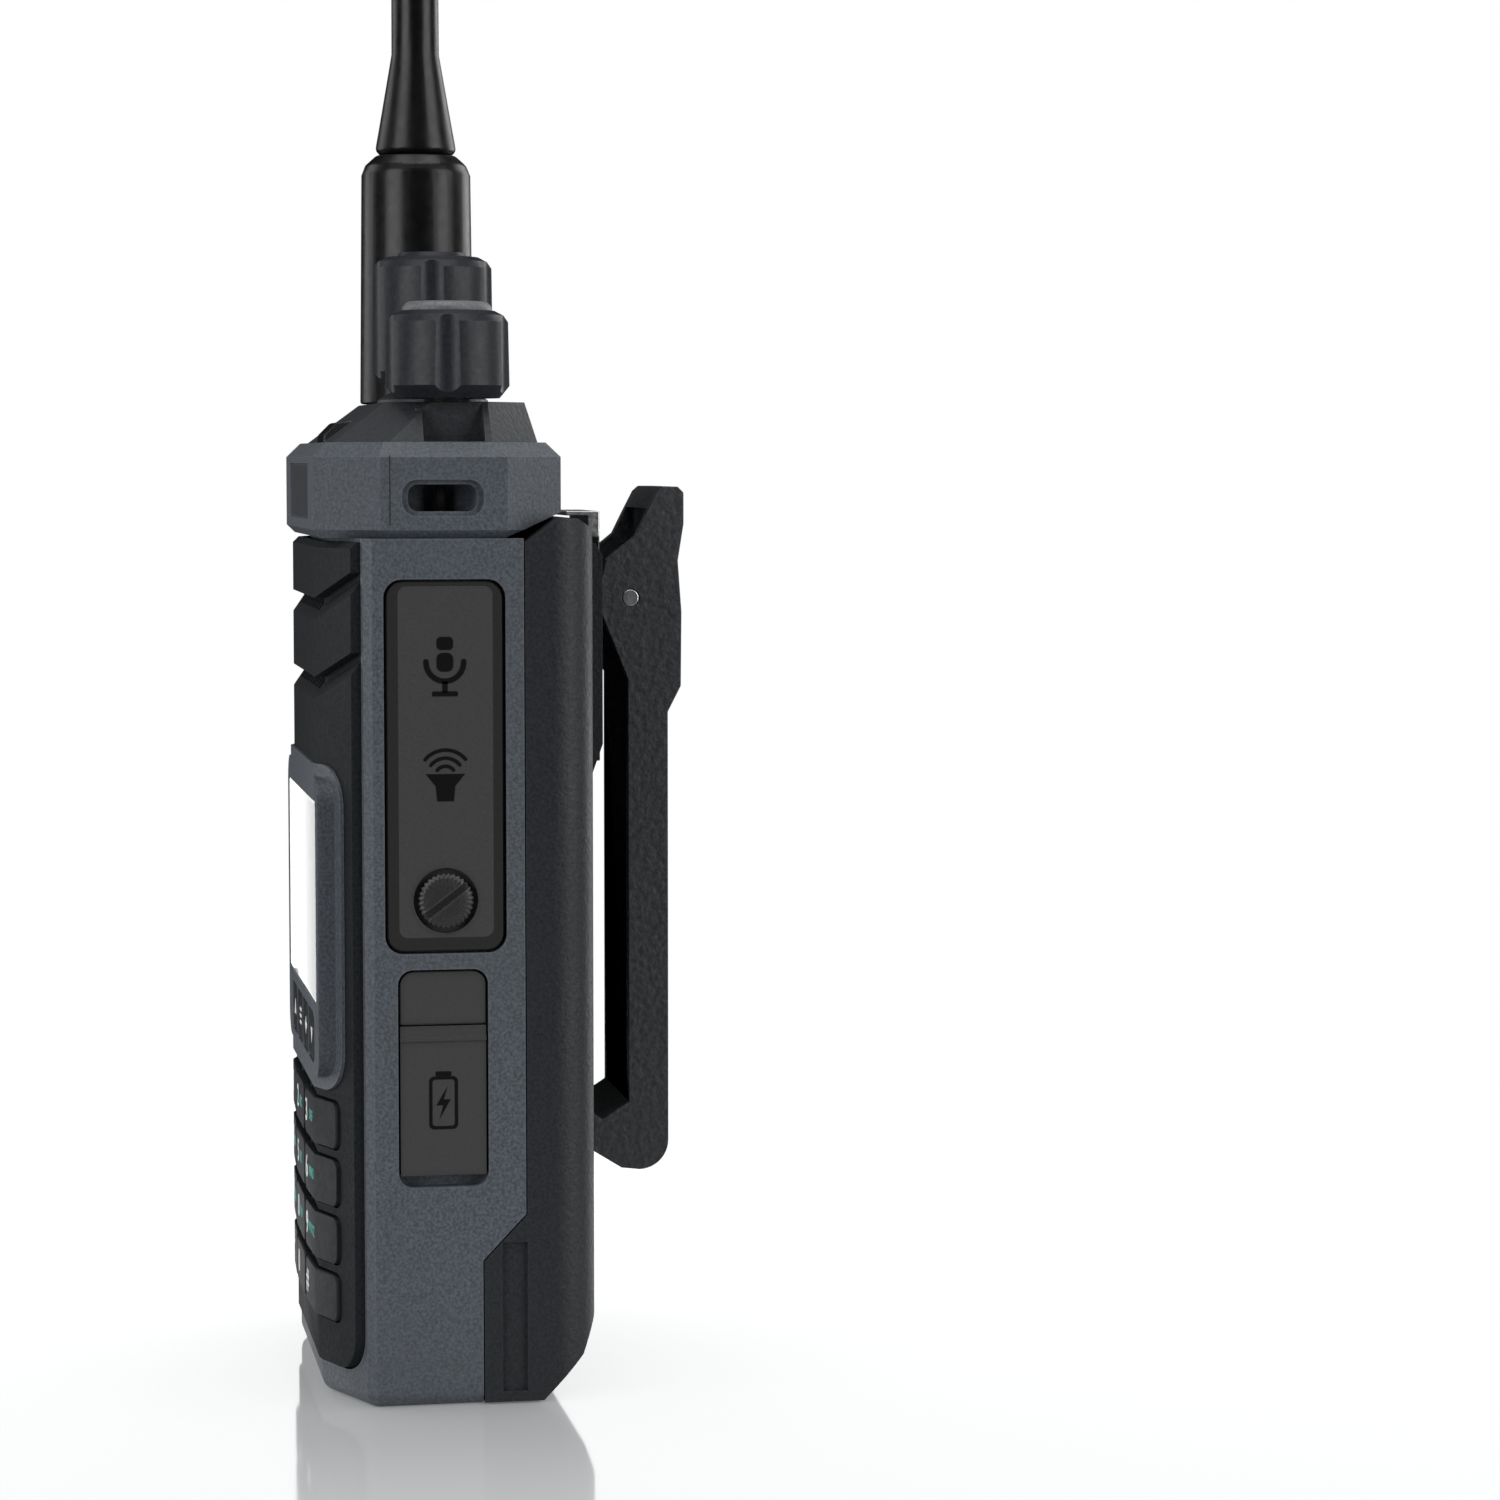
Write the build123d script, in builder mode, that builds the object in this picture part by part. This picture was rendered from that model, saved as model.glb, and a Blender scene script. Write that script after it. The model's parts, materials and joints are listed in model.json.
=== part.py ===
"""A handheld two-way radio, built as an assembly of separate pieces.

Millimetres. +Z is up, -Y is the front, +X is the accessory side (the viewer's right, seen from the front).
The origin is on the base, under the axes of the knobs and the antenna.
"""
from build123d import *
import os
from math import cos, radians, sin

os.makedirs("parts", exist_ok=True)

# ---- Driving dimensions ------------------------------------------------------------------------

body_width = 61.0
body_height = 131.5          # base to the flat top of the deck
body_depth = 36.0            # front face to the battery's back
axis_setback = 17.5          # front face to the knob and antenna axes

wall = 1.8
part_gap = 0.3               # open joint between outside pieces
key_gap = 0.25               # around every key and button
running_gap = 0.05           # radial, shaft in hole

# Front
panel_flat = 36.0            # width of the flat middle of the front
chamfer_depth = 3.8          # how far the front's slanted sides fall back
panel_inset = 1.5            # front panel's edge to the side of the body
panel_bevel = 0.8
panel_edge_height = 1.5      # depth of the panel's upright outer edge
panel_thickness = 2.4
shell_foot_radius = 2.0
chin_height = 4.2
bar_height = 7.45
slot_height = 2.95
slot_depth = 1.5
slot_rise = 3.6              # how far the slots climb over the slanted sides

# Ring and deck
ring_height = 12.45
deck_rise = 5.3
ring_bevel = 1.9
ring_wall = 2.7
ring_overhang = 0.5          # ring's face in front of the panel
ring_back_gap = 3.8          # ring's rear face to the battery's back
ring_corner = 8.0

# Display and keys
bezel_bottom = 41.0
bezel_height = 43.0
bezel_width = 53.4
bezel_proud = 0.5
window_width = 44.0
window_height = 26.8
window_bottom = 52.4
function_key_height = 6.4
function_key_width = 8.3
key_rows = 4
key_pitch_z = 7.66
middle_key_width = 13.4
column_gap = 1.2
key_height = 6.2
key_proud = 1.0              # middle of the keypad's crown
key_edge_proud = 0.5         # the crown where the flat front ends
key_travel = 0.8
key_flange = 0.9
top_key_z = 36.5             # middle of the top row

# Sides
side_recess = 2.2
cover_width = 15.9
cover_height = 48.7
cover_top_gap = 5.25         # ring's underside to the cover's recess
cover_middle = 15.85         # front face to the middle of the covers
flap_width = 11.8
flap_height = 28.6
flap_top_gap = 2.1           # cover's recess to the flap's recess
flap_hinge_rise = 21.3       # flap recess floor to the hinge line
surround_width = 17.6
surround_height = 66.0
button_width = 10.9
ptt_height = 22.2
side_key_height = 19.5
small_key_height = 6.8
button_proud = 0.9
button_travel = 0.8
thumbscrew_radius = 3.6

# Top controls
knob_radius = 8.15
flute_count = 5
flute_radius = 2.75
flute_depth = 0.75
flute_turn = -6             # degrees from +X to the first flute
volume_knob_height = 11.4
channel_knob_height = 17.0
shaft_radius = 3.0
shaft_bearing_wall = 0.5
volume_inset = 10.0          # from the +X side to the volume knob's axis
antenna_inset = 13.2         # from the -X side to the antenna's axis
channel_offset = 3.0
sheath_radius = 7.85
sheath_height = 34.6
antenna_length = 188.3

# Battery and clip
battery_depth = 9.8          # battery's side, seam to back
battery_foot = 5.7           # how far the battery's foot reaches in under the body
foot_height = 19.2
battery_corner = 6.0
pad_rise = 1.8
clip_width = 22.0
clip_cheek = 1.8
clip_pin_height = 105.3
clip_pin_reach = 7.3         # battery's back to the pin
pin_radius = 1.15
clip_plate = 1.6

# ---- Derived places ----------------------------------------------------------------------------

half_width = body_width / 2
front_y = -axis_setback
back_y = front_y + body_depth
ring_top = body_height - deck_rise
ring_bottom = ring_top - ring_height
panel_top = ring_bottom - 0.5
panel_edge = half_width - panel_inset
flat_edge = panel_flat / 2
seam_y = back_y - battery_depth
foot_y = seam_y - battery_foot
seam_top = foot_height + 1.05 * battery_foot
cover_y = front_y + cover_middle
cover_top = ring_bottom - cover_top_gap
cover_bottom = cover_top - cover_height
flap_bottom = cover_bottom - flap_top_gap - flap_height
flap_hinge_z = flap_bottom + flap_hinge_rise
surround_top = ring_bottom - 4.05
surround_bottom = surround_top - surround_height
button_y = front_y + 15.45
recess_x = half_width - side_recess
boss_x = recess_x - wall
volume_x = half_width - volume_inset
antenna_x = antenna_inset - half_width
channel_x = channel_offset
pad_y = back_y + pad_rise
pin_y = back_y + clip_pin_reach
mate_slope_x = panel_edge - 1.6
front_slope = chamfer_depth / (panel_edge - flat_edge)


# ---- Shared outlines ---------------------------------------------------------------------------

def side_face(points, x):
    """A polygon of (y, z) points on the plane across X."""
    with BuildSketch(Plane.YZ.offset(x)) as face:
        with BuildLine():
            Polyline(*points, close=True)
        make_face()
    return face.sketch


def plan_face(points, z):
    """A polygon of (x, y) points on a level plane."""
    with BuildSketch(Plane.XY.offset(z)) as face:
        with BuildLine():
            Polyline(*points, close=True)
        make_face()
    return face.sketch


def side_rectangle(y, z, width, height, radius, x):
    """A rounded rectangle on the plane across X."""
    with BuildSketch(Plane.YZ.offset(x)) as face:
        with Locations((y, z)):
            RectangleRounded(width, height, radius)
    return face.sketch


def front_rectangle(x, z, width, height, radius, y):
    """A rounded rectangle on the plane across Y, facing the front."""
    with BuildSketch(Plane.XZ.offset(-y)) as face:
        with Locations((x, z)):
            RectangleRounded(width, height, radius)
    return face.sketch


def mirrored(points):
    """A closed outline from its +X half, front to back."""
    return points + [(-x, y) for x, y in reversed(points)]


def front_outline(proud, rear_y):
    """The body's faceted front in plan, grown forward by proud, down to rear_y."""
    shift = proud * (1 - front_slope)
    reach = half_width + 1
    reach_y = front_y + front_slope * (reach - flat_edge) - proud
    return mirrored([(flat_edge + 0.2 * shift, front_y - proud), (reach, reach_y), (reach, rear_y)])


def key_outline(rear_y):
    """The keypad's crowned front in plan: level in the middle, then falling back to the slanted sides."""
    reach = half_width + 1
    reach_y = front_y + front_slope * (reach - flat_edge) - key_edge_proud
    return mirrored([(middle_key_width / 2, front_y - key_proud), (flat_edge, front_y - key_edge_proud),
                     (reach, reach_y), (reach, rear_y)])


def octagon(inset):
    """The ring's plan, moved in by inset on every side."""
    side = half_width - inset
    front = front_y - ring_overhang + inset
    rear = back_y - ring_back_gap + inset * -1
    cut = ring_corner - 0.42 * inset
    return mirrored([(side - cut, front), (side, front + cut), (side, rear - cut), (side - cut, rear)])


def mating_outline(front):
    """Region in front of the surface on which the front panel lies."""
    edge = half_width + 1
    back_edge = front_y + chamfer_depth + panel_edge_height
    slope = mirrored([(flat_edge - 0.6, front_y + panel_thickness), (mate_slope_x, back_edge),
                      (edge, back_edge)])
    count = len(slope) // 2
    return [(edge, front)] + slope[:count][::-1] + slope[count:][::-1] + [(-edge, front)]


def revolved(points, x, y):
    """A turned solid from (radius, z) points, on an upright axis at x, y."""
    with BuildPart() as turned:
        with BuildSketch(Plane.XZ.offset(-y)):
            with BuildLine():
                Polyline(*[(x + radius, z) for radius, z in points], close=True)
            make_face()
        revolve(axis=Axis((x, y, 0), (0, 0, 1)))
    return turned.part


def write(part, name):
    part.label = name
    export_step(part, f"parts/{name}.step")


# ---- Housing -----------------------------------------------------------------------------------

panel_pocket_height = body_height + 10 - chin_height
panel_middle_z = chin_height + panel_pocket_height / 2

with BuildPart() as panel_pocket:
    extrude(plan_face(mating_outline(front_y - 5), 0), amount=body_height)
    pocket_width = 2 * panel_edge + part_gap
    pocket_face = front_rectangle(0, panel_middle_z, pocket_width, panel_pocket_height, 5, front_y + 15)
    extrude(pocket_face, amount=30, mode=Mode.INTERSECT)

shell_side = [(flat_edge, front_y + 0.4), (half_width - 0.9, front_y + chamfer_depth + panel_edge_height)]
shell_side += [(half_width, front_y + chamfer_depth + panel_edge_height + 1.1), (half_width, back_y)]
slope_rear = front_y + chamfer_depth + panel_edge_height
cavity_side = [(flat_edge - 1.2, front_y + panel_thickness + 1.6), (mate_slope_x - 1, slope_rear + 1.9)]
cavity_side += [(half_width - wall, slope_rear + 3.3), (half_width - wall, back_y + 1)]

side_button_holes = [
    (surround_top - 3.8 - ptt_height / 2, ptt_height),
    (surround_top - 3.8 - ptt_height - 3.5 - side_key_height / 2, side_key_height),
    (surround_bottom + 7.2 + small_key_height / 2, small_key_height),
]

with BuildPart() as main_shell:
    extrude(plan_face(mirrored(shell_side), 0), amount=ring_bottom)
    fillet(main_shell.faces().sort_by(Axis.Z)[0].edges(), radius=shell_foot_radius)
    extrude(plan_face(mirrored(cavity_side), wall), amount=ring_bottom, mode=Mode.SUBTRACT)
    # Thicker side walls behind the covers and buttons
    for x_low in (boss_x, -half_width + 0.5):
        boss_z = (cover_top + flap_bottom) / 2
        boss_face = side_rectangle(cover_y, boss_z, 18.5, cover_top - flap_bottom + 5, 2, x_low)
        extrude(boss_face, amount=half_width - 0.5 - boss_x)
    add(panel_pocket.part, mode=Mode.SUBTRACT)
    # Seam with the battery
    seam = [(seam_y, body_height), (seam_y, seam_top), (foot_y, foot_height), (foot_y, -1)]
    extrude(side_face(seam + [(back_y + 5, -1), (back_y + 5, body_height)], -body_width),
            amount=2 * body_width,
            mode=Mode.SUBTRACT)
    # Display, speaker and key openings
    window_z = window_bottom + window_height / 2
    extrude(front_rectangle(0, window_z, window_width + 3, window_height + 2, 1, front_y + 12), amount=15,
            mode=Mode.SUBTRACT)
    speaker_z = (bezel_bottom + bezel_height + panel_top) / 2
    extrude(front_rectangle(0, speaker_z, 33, 23, 3, front_y + 12), amount=15, mode=Mode.SUBTRACT)
    keypad_height = bezel_bottom + 10.6 - chin_height - 4
    extrude(front_rectangle(0, chin_height + 4 + keypad_height / 2, 2 * mate_slope_x - 1, keypad_height, 2,
                            front_y + 12), amount=15, mode=Mode.SUBTRACT)
    # Accessory cover's recess and the openings in its floor
    extrude(side_rectangle(cover_y, (cover_top + cover_bottom) / 2, cover_width, cover_height, 2.4,
                           recess_x),
            amount=10, mode=Mode.SUBTRACT)
    extrude(side_rectangle(cover_y, cover_top - 20, 11, 26, 1, half_width - 12), amount=10,
            mode=Mode.SUBTRACT)
    with BuildSketch(Plane.YZ.offset(boss_x - 1)):
        with Locations((cover_y, cover_bottom + 6.9)):
            Circle(2.0)
    extrude(amount=10, mode=Mode.SUBTRACT)
    # Charge flap's recess and socket opening
    extrude(side_rectangle(cover_y - 0.45, flap_bottom + flap_height / 2, flap_width, flap_height, 2,
                           recess_x),
            amount=10, mode=Mode.SUBTRACT)
    extrude(side_rectangle(cover_y - 0.45, flap_bottom + 10.9, 4.4, 11.4, 1, boss_x - 1), amount=10,
            mode=Mode.SUBTRACT)
    # Button surround's recess and the button holes
    extrude(side_rectangle(button_y, (surround_top + surround_bottom) / 2, surround_width,
                           surround_height, 4,
                           -half_width - 5), amount=5 + side_recess, mode=Mode.SUBTRACT)
    for z, height in side_button_holes:
        extrude(side_rectangle(button_y, z, button_width + 2 * key_gap, height + 2 * key_gap, 1,
                               -half_width - 1),
                amount=10, mode=Mode.SUBTRACT)
write(main_shell.part, "main_shell")

# Front panel: three louvre bars over two slots, then openings for the bezel and the keys
panel_rear = front_y + chamfer_depth + panel_edge_height
panel_side = [(flat_edge, front_y), (panel_edge, front_y + chamfer_depth), (panel_edge, panel_rear)]
panel_side += [(mate_slope_x, panel_rear), (flat_edge - 0.6, front_y + panel_thickness)]
key_zs = [top_key_z - row * key_pitch_z for row in range(key_rows)]
outer_key_edge = panel_edge - 4.3
outer_key_start = middle_key_width / 2 + column_gap
outer_key_width = outer_key_edge - outer_key_start
outer_key_x = outer_key_start + outer_key_width / 2
key_columns = [(-outer_key_x, outer_key_width), (0, middle_key_width), (outer_key_x, outer_key_width)]
bezel_z = bezel_bottom + bezel_height / 2


with BuildPart() as front_panel:
    extrude(plan_face(mirrored(panel_side), chin_height + part_gap),
            amount=panel_top - chin_height - part_gap)
    top_edges = front_panel.faces().sort_by(Axis.Z)[-1].edges()
    chamfer([edge for edge in top_edges if edge.center().Y < front_y + chamfer_depth - 0.5],
            length=panel_bevel)
    rounded = front_rectangle(0, panel_middle_z + part_gap, 2 * panel_edge, panel_pocket_height, 4.8,
                              front_y + 15)
    extrude(rounded, amount=30, mode=Mode.INTERSECT)
    for slot in range(2):
        slot_top = panel_top - bar_height - slot * (bar_height + slot_height)
        slot_low = slot_top - slot_height
        back = front_y + slot_depth
        louvre = [(front_y - 1, slot_top), (back, slot_top), (back, slot_low + 2.2), (front_y, slot_low)]
        louvre += [(front_y - 1, slot_low - 1.45)]
        extrude(side_face(louvre, -flat_edge), amount=panel_flat, mode=Mode.SUBTRACT)
        # The slot's ends climb over the slanted sides
        for side in (-1, 1):
            climb = Vector(side * (panel_edge - flat_edge), chamfer_depth, slot_rise) * 1.1
            extrude(side_face(louvre, side * flat_edge), amount=climb.length, dir=climb, mode=Mode.SUBTRACT)
        for x in range(-4, 5):
            extrude(front_rectangle(x * 3.6, slot_top - 0.95, 2.6, 1.5, 0.3, front_y + 5), amount=10,
                    mode=Mode.SUBTRACT)
    bezel_hole = front_rectangle(0, bezel_z, bezel_width - 3, bezel_height - 3, 4, front_y + 10)
    extrude(bezel_hole, amount=15, mode=Mode.SUBTRACT)
    for x, width in key_columns:
        for z in key_zs:
            hole = front_rectangle(x, z, width + 2 * key_gap, key_height + 2 * key_gap, 1.6, front_y + 10)
            extrude(hole, amount=15, mode=Mode.SUBTRACT)
write(front_panel.part, "front_panel")

# Speaker and its mesh
mesh_y = front_y + panel_thickness + 0.1
with BuildPart() as speaker_mesh:
    extrude(front_rectangle(0, speaker_z, 32, 22, 2.5, mesh_y + 0.5), amount=0.5)
write(speaker_mesh.part, "speaker_mesh")

with BuildPart() as speaker:
    with BuildSketch(Plane.XZ.offset(-(mesh_y + 1.6))):
        with Locations((0, speaker_z)):
            Circle(13)
    extrude(amount=-2.2)
    with BuildSketch(Plane.XZ.offset(-(mesh_y + 3.8))):
        with Locations((0, speaker_z)):
            Circle(8)
    extrude(amount=-3.4)
write(speaker.part, "speaker")

# Display bezel, carried on the panel's openings
function_key_z = bezel_bottom + 3.2 + function_key_height / 2
function_key_xs = [(column - 1.5) * (function_key_width + 1.0) for column in range(4)]
with BuildPart() as display_bezel:
    extrude(plan_face(front_outline(bezel_proud, front_y + chamfer_depth + 1), bezel_bottom),
            amount=bezel_height)
    extrude(front_rectangle(0, bezel_z, bezel_width, bezel_height, 5.5, front_y + 20), amount=30,
            mode=Mode.INTERSECT)
    extrude(plan_face(front_outline(0.05, back_y), 0), amount=body_height, mode=Mode.SUBTRACT)
    lip_face = front_rectangle(0, bezel_z, bezel_width - 3.3, bezel_height - 3.3, 3.8,
                               front_y + panel_thickness)
    extrude(lip_face, amount=panel_thickness + 0.4)
    extrude(front_rectangle(0, window_bottom + window_height / 2, window_width, window_height, 0.8,
                            front_y + 5),
            amount=15, mode=Mode.SUBTRACT)
    for x in function_key_xs:
        hole = front_rectangle(x, function_key_z, function_key_width + 2 * key_gap,
                               function_key_height + 2 * key_gap, 0.9, front_y + 5)
        extrude(hole, amount=15, mode=Mode.SUBTRACT)
write(display_bezel.part, "display_bezel")

with BuildPart() as display_window:
    extrude(front_rectangle(0, window_bottom + window_height / 2, window_width, window_height, 0.8,
                            front_y + 0.8),
            amount=1.2)
write(display_window.part, "display_window")

with BuildPart() as lcd_module:
    extrude(front_rectangle(0, window_bottom + window_height / 2, window_width + 2, window_height + 1, 0.6,
                            front_y + panel_thickness + 3.2), amount=3)
write(lcd_module.part, "lcd_module")

# Keys: each has a flange behind its opening
flange_y = front_y + chamfer_depth + panel_edge_height + 0.3
key_names = ["1", "2", "3", "4", "5", "6", "7", "8", "9", "star", "0", "hash"]
names = iter(key_names)
for z in key_zs:
    for x, width in key_columns:
        with BuildPart() as number_key:
            extrude(plan_face(key_outline(flange_y + key_flange), z - key_height / 2), amount=key_height)
            extrude(front_rectangle(x, z, width, key_height, 1.4, front_y + 15), amount=30,
                    mode=Mode.INTERSECT)
            flange = front_rectangle(x, z, width + 0.8, key_height + 1.0, 0.8, flange_y + key_flange)
            extrude(flange, amount=key_flange)
        write(number_key.part, f"key_{next(names)}")

function_names = ["key_up", "key_menu", "key_back", "key_down"]
for x, name in zip(function_key_xs, function_names):
    with BuildPart() as function_key:
        extrude(front_rectangle(x, function_key_z, function_key_width, function_key_height, 0.7,
                                front_y + panel_thickness + 1), amount=panel_thickness + 1 + 0.4)
        extrude(front_rectangle(x, function_key_z, function_key_width + 0.7, function_key_height + 0.8, 0.7,
                                front_y + panel_thickness + 1), amount=0.7)
    write(function_key.part, name)

# Boards behind the keys and across the body
board_y = flange_y + key_flange + key_travel + 0.6
with BuildPart() as keypad_board:
    board_height = bezel_bottom + 9 - chin_height - 1
    board_z = chin_height + 1 + board_height / 2
    extrude(front_rectangle(0, board_z, 2 * boss_x - 1, board_height, 1.5, board_y + 1), amount=1)
write(keypad_board.part, "keypad_board")

main_board_y = board_y + 3.2
with BuildPart() as main_board:
    main_board_height = bezel_bottom + bezel_height - wall - 2.5
    extrude(front_rectangle(0, wall + 1.5 + main_board_height / 2, 2 * boss_x - 23, main_board_height, 1.5,
                            main_board_y + 1.2), amount=1.2)
write(main_board.part, "main_board")

# Die-cast chassis: a ribbed plate across the back of the body
chassis_y = seam_y - 0.3
chassis_low = seam_top + 1
chassis_height = ring_bottom - 1 - chassis_low
screw_places = [(x, z) for x in (-half_width + 9, half_width - 9)
                for z in (chassis_low + 6, ring_bottom - 7)]
with BuildPart() as rear_chassis:
    extrude(front_rectangle(0, chassis_low + chassis_height / 2, 2 * boss_x - 0.6, chassis_height, 2,
                            chassis_y), amount=1.8)
    for x in range(-2, 3):
        with BuildSketch(Plane.XZ.offset(-(chassis_y - 1.8))):
            with Locations((x * 9.0, chassis_low + chassis_height / 2)):
                Rectangle(1.4, chassis_height - 8)
        extrude(amount=1.4)
    with BuildSketch(Plane.XZ.offset(-chassis_y)):
        with Locations(*screw_places):
            Circle(1.3)
    extrude(amount=4, mode=Mode.SUBTRACT)
write(rear_chassis.part, "rear_chassis")

with BuildPart() as chassis_screws:
    with BuildSketch(Plane.XZ.offset(-(chassis_y - 1.8))):
        with Locations(*screw_places):
            Circle(2.3)
    extrude(amount=1.3)
    with BuildSketch(Plane.XZ.offset(-chassis_y)):
        with Locations(*screw_places):
            Circle(1.25)
    extrude(amount=1.8)
write(chassis_screws.part, "chassis_screws")

# ---- Ring and deck -----------------------------------------------------------------------------

slot_y = cover_y - 0.1
slot_z = ring_bottom + 5.25
with BuildPart() as top_ring:
    extrude(plan_face(octagon(0), ring_bottom), amount=ring_height)
    chamfer(top_ring.faces().sort_by(Axis.Z)[-1].edges(), length=ring_bevel)
    chamfer(top_ring.faces().sort_by(Axis.Z)[0].edges(), length=1.1)
    extrude(plan_face(octagon(ring_wall), ring_bottom - 1), amount=ring_height + 2, mode=Mode.SUBTRACT)
    # Block that holds the lanyard slot
    block_x = volume_x + shaft_radius + shaft_bearing_wall + 0.1
    with BuildSketch(Plane.XY.offset(slot_z - 3.2)):
        with Locations(((block_x + half_width - 1) / 2, slot_y)):
            Rectangle(half_width - 1 - block_x, 13)
    extrude(amount=6.4)
    # Rear underside rises over the battery's shoulder
    rise_start = seam_y - 2.4
    rise = [(rise_start, ring_bottom - 2), (rise_start, ring_bottom), (back_y - 3, ring_bottom + 3.6)]
    extrude(side_face(rise + [(back_y + 2, ring_bottom + 3.6), (back_y + 2, ring_bottom - 2)],
                      -half_width - 1),
            amount=body_width + 2, mode=Mode.SUBTRACT)
    extrude(side_rectangle(slot_y, slot_z, 10.7, 4.7, 2.0, half_width - 0.8), amount=5, mode=Mode.SUBTRACT)
    extrude(side_rectangle(slot_y, slot_z, 9.0, 3.5, 1.3, half_width - 5.2), amount=10, mode=Mode.SUBTRACT)
    with BuildSketch(Plane.XY.offset(slot_z - 2)):
        with Locations((half_width - 3.9, slot_y)):
            Circle(0.6)
    extrude(amount=4)
    extrude(front_rectangle(0, ring_bottom + ring_height / 2 - 0.2, 30, 7.4, 0.4,
                            front_y - ring_overhang + 0.3),
            amount=2, mode=Mode.SUBTRACT)
write(top_ring.part, "top_ring")

deck_inset = ring_wall + 0.15
plateau_front = front_y + 9.4
plateau_rear = back_y - ring_back_gap - 4.3
plateau_side = half_width - 6.2


def plateau(inset):
    """The deck's flat top in plan."""
    cut = 5.6 - 0.42 * inset
    side = plateau_side - inset
    return mirrored([(side - cut, plateau_front + inset), (side, plateau_front + inset + cut),
                     (side, plateau_rear - inset - cut), (side - cut, plateau_rear - inset)])


def faceted_block(base, top, low, high):
    """A block whose eight sides lean in, from the base outline at the ring's top to the top outline."""
    with BuildPart() as block:
        extrude(plan_face(base, low), amount=high - low)
        for place, corner in enumerate(base):
            foot = Vector(*corner, ring_top)
            edge = Vector(*base[(place + 1) % len(base)], ring_top) - foot
            lean = Vector(*top[place], high) - foot
            split(bisect_by=Plane(origin=foot, x_dir=edge, z_dir=edge.cross(lean)), keep=Keep.BOTTOM)
    return block.part


lens_width = 11.0
with BuildPart() as top_deck:
    add(faceted_block(octagon(deck_inset), plateau(0), ring_top - 2, body_height))
    # Flared collar under the channel knob
    add(revolved([(0, body_height - 1), (8.0, body_height - 1), (7.4, body_height + 0.5),
                  (4.6, body_height + 2.2),
                  (0, body_height + 2.2)], channel_x, 0))
    hollow_block = faceted_block(octagon(deck_inset + wall), plateau(wall * 0.4), ring_top - 3,
                                 body_height - wall)
    add(hollow_block, mode=Mode.SUBTRACT)
    # Notch beside the volume knob
    with BuildSketch(Plane.XY.offset(ring_top + 0.1)):
        with Locations((half_width, 0.1)):
            Rectangle(12.2, 8)
    extrude(amount=10, mode=Mode.SUBTRACT)
    with BuildSketch(Plane.XY.offset(ring_top + 0.1)):
        with Locations((half_width - 6.7, 0.1)):
            Rectangle(1.2, 9.4)
    extrude(amount=body_height - ring_top - 1)
    # Light pipe's seat
    with BuildSketch(Plane.XY.offset(ring_top - 3)):
        with Locations((0, front_y + 4)):
            Rectangle(lens_width, 5)
    extrude(amount=8, mode=Mode.SUBTRACT)
    with BuildSketch(Plane.XY.offset(ring_top - 5)):
        with Locations((antenna_x, 0)):
            Circle(4.5)
        with Locations((channel_x, 0), (volume_x, 0)):
            Circle(shaft_radius + part_gap)
    extrude(amount=20, mode=Mode.SUBTRACT)
write(top_deck.part, "top_deck")

with BuildPart() as status_lens:
    lens_side = [(front_y + 6.4, ring_top - 2), (front_y + 6.4, ring_top + 3.0),
                 (front_y + 4.2, ring_top + 2.7)]
    lens_side += [(front_y + 2.5, ring_top + 1.0), (front_y + 2.5, ring_top - 2)]
    extrude(side_face(lens_side, -lens_width / 2 + 0.1), amount=lens_width - 0.2)
write(status_lens.part, "status_lens")

# ---- Rotary controls ---------------------------------------------------------------------------


def fluted(x, low, height, dome):
    """A knob's fluted grip, with its edges drawn in at top and bottom."""
    with BuildPart() as grip:
        with BuildSketch(Plane.XY.offset(low)):
            with Locations((x, 0)):
                Circle(knob_radius)
                with PolarLocations(knob_radius + flute_radius - flute_depth, flute_count,
                                    start_angle=flute_turn):
                    Circle(flute_radius, mode=Mode.SUBTRACT)
        extrude(amount=height)
        outline = [(0, low), (knob_radius - 1.3, low), (knob_radius, low + 1.6),
                   (knob_radius - 0.15, low + height - 1.5)]
        outline += [(knob_radius - 0.75, low + height - 0.6), (knob_radius - 1.9, low + height),
                    (0, low + height)]
        add(revolved(outline, x, 0), mode=Mode.INTERSECT)
        if dome:
            add(revolved([(0, low + height - 1), (5.4, low + height - 1), (4.4, low + height + dome),
                          (0, low + height + dome)], x, 0))
    return grip.part


def control_body(x, name):
    """The switch body under the deck, with a bearing for the shaft."""
    with BuildPart() as control:
        with BuildSketch(Plane.XY.offset(ring_bottom + 1)):
            with Locations((x, 0)):
                Rectangle(2 * (shaft_radius + shaft_bearing_wall), 11)
                Circle(shaft_radius + running_gap, mode=Mode.SUBTRACT)
        extrude(amount=8)
    write(control.part, name)


def shaft(x, top, name):
    with BuildPart() as spindle:
        with BuildSketch(Plane.XY.offset(ring_bottom + 2)):
            with Locations((x, 0)):
                Circle(shaft_radius)
        extrude(amount=top - ring_bottom - 2)
    write(spindle.part, name)


channel_low = body_height + 2.7
volume_low = body_height + 0.5
channel_shaft_top = channel_low + channel_knob_height - 4
volume_shaft_top = volume_low + volume_knob_height - 3

with BuildPart() as channel_knob:
    add(fluted(channel_x, channel_low, channel_knob_height, 0.6))
    with BuildSketch(Plane.XY.offset(channel_low - 1)):
        with Locations((channel_x, 0)):
            Circle(shaft_radius)
    extrude(amount=channel_shaft_top - channel_low + 1, mode=Mode.SUBTRACT)
write(channel_knob.part, "channel_knob")
shaft(channel_x, channel_shaft_top, "channel_shaft")
control_body(channel_x, "channel_switch")

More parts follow.
